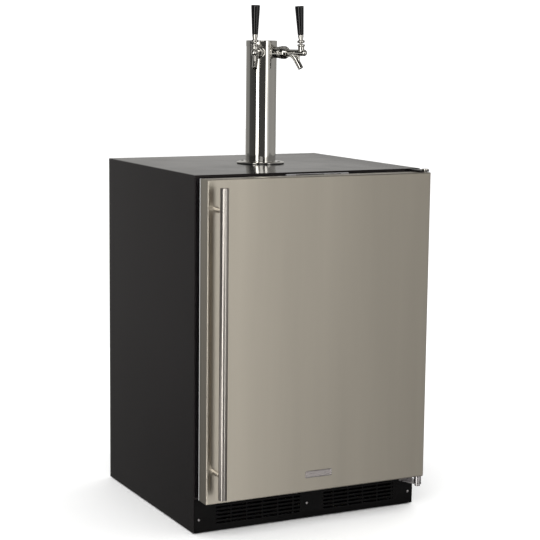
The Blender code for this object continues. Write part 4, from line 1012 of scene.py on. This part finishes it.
def make_tower():
    low, high = span("tower_column", Z)
    wall = 0.0012
    builder = bmesh.new()
    add_turned(builder, [(TOWER_RADIUS, high), (TOWER_RADIUS, low), (TOWER_RADIUS - wall, low),
                         (TOWER_RADIUS - wall, high)], TOWER_PLACE, 160)
    holes = bmesh.new()
    for side in SIDES.values():
        reach = tap_place(side) @ Matrix.Translation((0, 0, TAP_Z)) @ ALONG_X
        add_turned(holes, [(0, 0.06), (SHANK_HOLE, 0.06), (SHANK_HOLE, 0.02), (0, 0.02)], reach, 48)
    show("tower_tube", cut(mesh_of(builder, "tower_tube"), holes), "cabinet", "polished_chrome",
         "tower_column")

    low, high = span("tower_cap", Z)
    outer = span("tower_cap", X)[1]
    skirt = TOWER_RADIUS + GAP
    under = span("tower_column", Z)[1] + GAP
    crown = rounded([(0, high), (outer, high), (outer, low)], 0.0016, 6)[:-1]
    rolled = arc((outer - 0.0003, low + 0.0003), 0.0003, 0, -90, 3)
    builder = bmesh.new()
    add_turned(builder, [*crown, *rolled, (skirt, low), (skirt, under), (0, under)], TOWER_PLACE,
               160)
    show_built("tower_top_cap", builder, "cabinet", "polished_chrome", "tower_cap")

    low, high = span("tower_base_flange", Z)
    outer = span("tower_base_flange", X)[1]
    edge = low + 0.0009
    dome = rounded([(0.0330, high), (outer - 0.0075, high), (outer, edge + 0.0004), (outer, edge)],
                   0.0030, 6)
    builder = bmesh.new()
    add_turned(builder, [*dome[:-1], (outer, edge), (outer, low), (0.0330, low)], TOWER_PLACE, 160)
    bolts = [Matrix.Rotation(math.radians(45 + 90 * i), 4, "Z")
             @ Matrix.Translation((BOLT_CIRCLE, 0, 0)) for i in range(4)]
    tool = bmesh.new()
    for bolt in bolts:
        add_turned(tool, [(0, high + 0.002), (0.0042, high + 0.002), (0.0042, high - 0.0002),
                          (0.0022, high - 0.0018), (0.0022, low - 0.001), (0, low - 0.001)],
                   TOWER_PLACE @ bolt, 32)
    show("tower_base_ring", cut(mesh_of(builder, "tower_base_ring"), tool), "cabinet",
         "polished_chrome", "tower_base_flange")
    screws = bmesh.new()
    for bolt in bolts:
        place = TOWER_PLACE @ bolt @ Matrix.Translation((0, 0, high - 0.0006))
        add_pan_head(screws, place, 0.0040, 0.0018)
        add_turned(screws, [(0, 0.0002), (0.0018, 0.0002), (0.0018, -0.012), (0, -0.012)], place, 16)
    show_built("tower_base_screws", screws, "cabinet", "polished_chrome", angle=30)

    low, high = span("tower_gasket", Z)
    outer = span("tower_gasket", X)[1]
    profile = rounded([(0.0330, high), (outer, high), (outer, low), (0.0330, low)], 0.0005, 3)
    builder = bmesh.new()
    add_turned(builder, profile, TOWER_PLACE, 96)
    show_built("tower_base_seal", builder, "cabinet", "rubber", "tower_gasket")


# Faucets ------------------------------------------------------------------------------------------

NUT_START = 0.0505
NUT_END = 0.0745
FAUCET_START = 0.0630
FAUCET_END = 0.1270
BARREL = 0.0080
SPOUT_KNOTS = [(0.0780, 0, 1.1275), (0.0865, 0, 1.1235), (0.0950, 0, 1.1160), (0.1025, 0, 1.1045),
               (0.1110, 0, 1.0910)]
SPOUT_STEPS = 8


def shank_mesh():
    """Threaded tube whose collar is coped to seat on the column."""
    thread = []
    for i in range(10):
        reach = 0.0620 - i * 0.0011
        thread += [(0.0110, reach), (0.0105, reach - 0.00055)]
    collar = rounded([(0.0110, 0.0500), (0.0140, 0.0500), (0.0140, 0.0330), (0.0110, 0.0330)],
                     0.0006, 3)
    profile = [(0.0105, 0.0625), *thread, *collar, (0.0110, 0.0200), (0.0058, 0.0200),
               (0.0058, 0.0625)]
    builder = bmesh.new()
    add_turned(builder, profile, Matrix.Translation((0, 0, TAP_Z)) @ ALONG_X, 64)
    seat = bmesh.new()
    add_turned(seat, [(TOWER_RADIUS + 0.0002, TAP_Z + 0.02), (TOWER_RADIUS + 0.0002, TAP_Z - 0.02),
                      (0.0300, TAP_Z - 0.02), (0.0300, TAP_Z + 0.02)], steps=160)
    spare = bmesh.new()
    add_turned(spare, [(0.0200, 0.0400), (0.0200, 0.0300), (0.0111, 0.0300), (0.0111, 0.0400)],
               Matrix.Translation((0, 0, TAP_Z)) @ ALONG_X, 64)
    ring = combined(mesh_of(spare, "collar_room"), seat, "INTERSECT")
    seat = bmesh.new()
    seat.from_mesh(ring)
    return cut(mesh_of(builder, "shank"), seat)


def nut_mesh():
    """Domed coupling nut with a bead at its back and four spanner notches."""
    dome = rounded([(0.0113, NUT_START), (0.0150, NUT_START), (0.0150, NUT_START + 0.0030),
                    (0.0143, NUT_START + 0.0042), (0.0160, NUT_START + 0.0062),
                    (0.0160, NUT_END - 0.0070), (0.0125, NUT_END), (BARREL + GAP, NUT_END)],
                   0.0014, 5)
    profile = [*dome[::-1], (0.0113, 0.0690), (BARREL + GAP, 0.0690)]
    builder = bmesh.new()
    add_turned(builder, profile, Matrix.Translation((0, 0, TAP_Z)) @ ALONG_X, 96)
    notches = bmesh.new()
    for i in range(4):
        turn = Matrix.Translation((0, 0, TAP_Z)) @ Matrix.Rotation(math.pi / 4 + i * math.pi / 2, 4, "X")
        add_box(notches, (NUT_START + 0.0085, NUT_START + 0.0145), (-0.0016, 0.0016),
                (0.0149, 0.0200), 0.0005, 2, turn)
    return cut(mesh_of(builder, "nut"), notches)


def body_mesh():
    """Cast body: barrel with a ball end, neck, tapered spout and vent, with soft fillets."""
    lay = Matrix.Translation((0, 0, TAP_Z)) @ ALONG_X
    tip = arc((0, FAUCET_END - BARREL), BARREL, 90, 0, 12)
    builder = bmesh.new()
    add_turned(builder, [(0, tip[0][1]), *tip[1:], (BARREL, 0.0690), (0.0100, 0.0688),
                         (0.0109, FAUCET_START + 0.0004), (0, FAUCET_START + 0.0004)], lay, 64)
    parts = []
    path = smooth_curve(SPOUT_KNOTS, SPOUT_STEPS)
    last = len(path) - 1
    radii = [0.0074 - 0.0006 * i / last for i in range(last + 1)]
    spout = bmesh.new()
    add_sweep(spout, path, radii)
    parts.append(spout)
    neck = bmesh.new()
    add_turned(neck, [(0, TAP_PIVOT_Z - 0.0036), (0.0078, TAP_PIVOT_Z - 0.0036), (0.0078, TAP_Z + 0.003),
                      (0, TAP_Z + 0.003)], Matrix.Translation((TAP_PIVOT_OUT, 0, 0)), 48)
    parts.append(neck)
    vent = bmesh.new()
    add_turned(vent, [(0, TAP_Z - 0.004), (0.0028, TAP_Z - 0.004), (0.0028, 1.1040), (0, 1.1040)],
               Matrix.Translation((0.1055, 0, 0)), 32)
    parts.append(vent)
    mesh = mesh_of(builder, "faucet_casting")
    for part in parts:
        mesh = union(mesh, part)
    thing = loose("faucet_casting", mesh)
    remesh = thing.modifiers.new("voxels", "REMESH")
    remesh.mode = "VOXEL"
    remesh.voxel_size = 0.00042
    relax = thing.modifiers.new("relax", "SMOOTH")
    relax.factor = 0.5
    relax.iterations = 7
    mesh = baked(thing)
    bores = bmesh.new()
    add_turned(bores, [(0, 0.1185), (0.0042, 0.1185), (0.0042, 0.0715), (0.0058, 0.0715),
                       (0.0058, 0.0500), (0, 0.0500)], lay, 48)
    mesh = cut(mesh, bores)
    beer_way = bmesh.new()
    way = [point for point in path if point.x > 0.080]
    way.append(way[-1] + (way[-1] - way[-2]).normalized() * 0.004)
    add_sweep(beer_way, way, [0.0047] * len(way))
    mesh = cut(mesh, beer_way)
    for spans in (((-0.0064, 0.0034), (TAP_Z, TAP_PIVOT_Z - 0.0020)),
                  ((-0.0082, 0.0), (TAP_Z, TAP_Z + 0.0065))):
        slot = bmesh.new()
        add_box(slot, [TAP_PIVOT_OUT + x for x in spans[0]], (-0.0021, 0.0021), spans[1])
        mesh = cut(mesh, slot)
    seat = bmesh.new()
    ball = arc((0, 0), 0.0052, 90, -90, 16)
    add_turned(seat, [(0, 0.0052), *ball[1:-1], (0, -0.0052)],
               Matrix.Translation((TAP_PIVOT_OUT, 0, TAP_PIVOT_Z)), 48)
    return cut(mesh, seat)


def bead(height, steps=14):
    """Outer half of a round ring at a height on the lever's axis, from top to bottom."""
    return arc((0.0065, height), 0.0033, 90, -90, steps)


def bonnet_mesh():
    """Ring nut over the lever's ball."""
    ring = bead(-0.0003)[3:]
    profile = [*ring, (0.0051, -0.0036), (0.0051, -0.0010), (0.0073, 0.0022)]
    builder = bmesh.new()
    add_turned(builder, profile, Matrix.Translation((TAP_PIVOT_OUT, 0, TAP_PIVOT_Z)), 64)
    return mesh_of(builder, "bonnet")


def lever_place():
    return Matrix.Translation((TAP_PIVOT_OUT, 0, TAP_PIVOT_Z)) @ Matrix.Rotation(-TAP_LEAN, 4, "Y")


def lever_mesh():
    """Ball lever: finger, ball, stud, round collar and the ferrule that carries the handle."""
    ball, stud, finger = 0.0048, 0.0030, 0.0016
    upper = math.degrees(math.acos(stud / ball))
    lower = math.degrees(math.acos(finger / ball))
    collar = bead(0.0088)
    ferrule = rounded([(0, 0.0245), (0.0072, 0.0245), (0.0072, 0.0225), (0.0052, 0.0121)], 0.0006, 4)
    neck = 0.0055
    profile = [*ferrule, *collar, (neck, collar[-1][1]), (neck, 0.0043), (stud, 0.0040),
               *arc((0, 0), ball, upper, -lower, 14),
               (finger, -0.0168), (finger - 0.0004, -0.0172), (0, -0.0172)]
    builder = bmesh.new()
    add_turned(builder, profile, lever_place(), 64)
    return mesh_of(builder, "lever")


def handle_mesh():
    """Tapered black handle with a flat top."""
    low = 0.0245 + GAP
    top = 0.0952
    wide = 0.0108
    crown = rounded([(0, top), (wide, top), (wide, top - 0.0040), (0.0075, low + 0.0014)],
                    0.0009, 5)
    profile = [*crown[:-1], (0.0075, low + 0.0014), (0.0072, low + 0.0004), (0.0066, low), (0, low)]
    builder = bmesh.new()
    add_turned(builder, profile, lever_place(), 64)
    return mesh_of(builder, "handle")


def make_faucets():
    shapes = [("shank_tube", shank_mesh(), "cabinet", "polished_chrome", "faucet_shank"),
              ("shank_nut", nut_mesh(), "cabinet", "polished_chrome", "coupling_nut"),
              ("faucet_casting", body_mesh(), "cabinet", "polished_chrome", "faucet_body"),
              ("lever_bonnet", bonnet_mesh(), "cabinet", "polished_chrome", "faucet_bonnet"),
              ("ball_lever", lever_mesh(), "tap", "polished_chrome", "tap_lever"),
              ("black_handle", handle_mesh(), "tap", "handle_black", "tap_handle")]
    for tag, side in SIDES.items():
        for name, mesh, body, slot, node in shapes:
            copy = mesh.copy()
            copy.transform(tap_place(side))
            show(f"{name}_{tag}", copy, f"tap_{tag}" if body == "tap" else body, slot,
                 f"{node}_{tag}")


# Stage --------------------------------------------------------------------------------------------

CAMERA_PLACE = (-1.7673, FRONT - 3.2645, 1.1633)
CAMERA_YAW = math.radians(-26.95)
CAMERA_PITCH = math.radians(-8.405)
CAMERA_ROLL = math.radians(0.628)
CAMERA_LENS = 104.44
# Grey of the studio's walls by direction. Degrees from the camera's side, to the right.
WALLS = [(-180, 0.42), (-150, 0.40), (-134, 0.30), (-127, 0.24), (-118, 0.28), (-100, 0.26),
         (-92, 0.07), (-45, 0.05), (-14, 0.06), (33, 0.06), (45, 0.85), (53, 0.82), (58, 0.50),
         (66, 0.34), (110, 0.36), (135, 0.30), (165, 0.34), (180, 0.42)]
# Lamps and cards: direction, half-width, lowest and highest height, edge softness, brightness.
LAMPS = [(-26.5, 9.0, -0.65, 0.46, 0.06, 4.0), (41.0, 5.5, -0.65, 0.40, 0.06, 2.4),
         (-75.0, 35.0, -0.50, -0.27, 0.05, 0.7), (180.0, 60.0, 0.06, 0.40, 0.06, 0.14),
         (6.0, 12.0, 0.12, 0.42, 0.06, 3.0), (0.0, 182.0, 0.82, 1.2, 0.08, 0.22)]


def make_world():
    """White to look at and to light with, and a grey studio with two strip lamps in reflections."""
    world = bpy.data.worlds.new("studio")
    bpy.context.scene.world = world
    world.use_nodes = True
    tree = world.node_tree
    tree.nodes.clear()

    def math_node(operation, *values):
        node = tree.nodes.new("ShaderNodeMath")
        node.operation = operation
        for socket, value in zip(node.inputs, values):
            if isinstance(value, (int, float)):
                socket.default_value = value
            else:
                tree.links.new(value, socket)
        return node.outputs[0]

    def fall_off(value, inner, outer):
        """One below inner, none above outer."""
        node = tree.nodes.new("ShaderNodeMapRange")
        node.interpolation_type = "SMOOTHSTEP"
        for socket, number in zip(("From Min", "From Max", "To Min", "To Max"),
                                  (inner, outer, 1.0, 0.0)):
            node.inputs[socket].default_value = number
        tree.links.new(value, node.inputs["Value"])
        return node.outputs["Result"]

    place = tree.nodes.new("ShaderNodeTexCoord")
    parts = tree.nodes.new("ShaderNodeSeparateXYZ")
    tree.links.new(place.outputs["Generated"], parts.inputs[0])
    x, y, z = parts.outputs
    angle = math_node("ARCTAN2", x, math_node("MULTIPLY", y, -1.0))
    turned = math_node("ADD", angle, math.pi - CAMERA_YAW)
    share = math_node("DIVIDE", math_node("WRAP", turned, 2 * math.pi, 0.0), 2 * math.pi)
    walls = tree.nodes.new("ShaderNodeValToRGB")
    ramp = walls.color_ramp
    while len(ramp.elements) < len(WALLS):
        ramp.elements.new(0.5)
    for element, (degrees, grey) in zip(ramp.elements, WALLS):
        element.position = (degrees + 180) / 360
        element.color = (grey, grey, grey, 1)
    tree.links.new(share, walls.inputs["Fac"])
    ceiling = math_node("MULTIPLY_ADD", fall_off(z, 0.25, 0.60), 0.78, 0.22)
    ground = math_node("MULTIPLY_ADD", fall_off(math_node("MULTIPLY", z, -1.0), 0.06, 0.42),
                       0.60, 0.40)
    light = math_node("MULTIPLY", walls.outputs["Color"], math_node("MULTIPLY", ceiling, ground))
    for degrees, half, low, high, soft, strength in LAMPS:
        away = math_node("PINGPONG", math_node("SUBTRACT", share, (degrees + 180) / 360 - 1), 0.5)
        across = fall_off(away, (half - 2) / 360, (half + 2) / 360)
        level = math_node("ABSOLUTE", math_node("SUBTRACT", z, (low + high) / 2))
        upright = fall_off(level, (high - low) / 2 - soft, (high - low) / 2 + soft)
        shape = math_node("MULTIPLY", across, upright)
        light = math_node("MULTIPLY_ADD", shape, strength, light)
    tint = tree.nodes.new("ShaderNodeMix")
    tint.data_type = "RGBA"
    tint.blend_type = "MULTIPLY"
    tint.inputs["Factor"].default_value = 1.0
    tree.links.new(light, tint.inputs["A"])
    tint.inputs["B"].default_value = (1.0, 0.985, 0.95, 1)

    reflected = tree.nodes.new("ShaderNodeBackground")
    tree.links.new(tint.outputs["Result"], reflected.inputs["Color"])
    plain = tree.nodes.new("ShaderNodeBackground")
    plain.inputs["Color"].default_value = (1, 1, 1, 1)
    plain.inputs["Strength"].default_value = 1.25
    paths = tree.nodes.new("ShaderNodeLightPath")
    mix = tree.nodes.new("ShaderNodeMixShader")
    output = tree.nodes.new("ShaderNodeOutputWorld")
    tree.links.new(paths.outputs["Is Glossy Ray"], mix.inputs[0])
    tree.links.new(plain.outputs[0], mix.inputs[1])
    tree.links.new(reflected.outputs[0], mix.inputs[2])
    tree.links.new(mix.outputs[0], output.inputs["Surface"])


def make_floor():
    """A wide pale floor with a barely visible mottle."""
    material, tree, shader = new_material("floor", (0.96, 0.96, 0.955), 0.8)
    vary_colour(tree, shader, noise(tree, (3, 3, 3)), (0.955, 0.955, 0.95), (0.97, 0.97, 0.965))
    builder = bmesh.new()
    add_box(builder, (-15, 15), (-15, 15), (-0.05, 0))
    mesh = mesh_of(builder, "floor")
    mesh.materials.append(material)
    floor = loose("floor", mesh)
    floor.visible_glossy = False


def make_light(name, place, aim, size, power):
    light = bpy.data.lights.new(name, "AREA")
    light.size = size
    light.energy = power
    thing = bpy.data.objects.new(name, light)
    bpy.context.scene.collection.objects.link(thing)
    thing.location = place
    thing.rotation_euler = (Vector(aim) - Vector(place)).to_track_quat("-Z", "Y").to_euler()
    thing.visible_glossy = False


def make_camera():
    """At the photograph's angle: yaw about Z, then pitch, then a slight roll."""
    data = bpy.data.cameras.new("camera")
    data.lens = CAMERA_LENS
    data.sensor_width = 36
    data.clip_end = 100
    camera = bpy.data.objects.new("camera", data)
    bpy.context.scene.collection.objects.link(camera)
    turn = (Matrix.Rotation(CAMERA_YAW, 4, "Z") @ Matrix.Rotation(math.pi / 2 + CAMERA_PITCH, 4, "X")
            @ Matrix.Rotation(CAMERA_ROLL, 4, "Z"))
    camera.matrix_world = Matrix.Translation(CAMERA_PLACE) @ turn
    bpy.context.scene.camera = camera


# Assembly -----------------------------------------------------------------------------------------

paint_cad_nodes()
make_wrapper()
make_kick_grille()
make_feet()
make_door_skin()
make_badge()
make_handle()
make_hinges()
make_tower()
make_faucets()
make_front_frame()
make_gasket()
make_control_panel()
make_lamp()
make_keg_plate()
make_back_screws()
soften(0.0060, "inner_liner")
soften(0.0030, "door_inner_panel")
soften(0.0012, "evaporator_cover", "base_pan")
soften(0.0003, "rear_panel", "compressor_cover", "power_inlet", "condenser", "condenser_fan_motor")

make_camera()
make_world()
make_floor()
make_light("key", (-2.2, -3.0, 3.2), (0, 0, 0.5), 2.5, 60)
make_light("fill", (3.0, -2.0, 2.0), (0, 0, 0.5), 2.5, 25)
bpy.context.scene.view_settings.view_transform = "Standard"
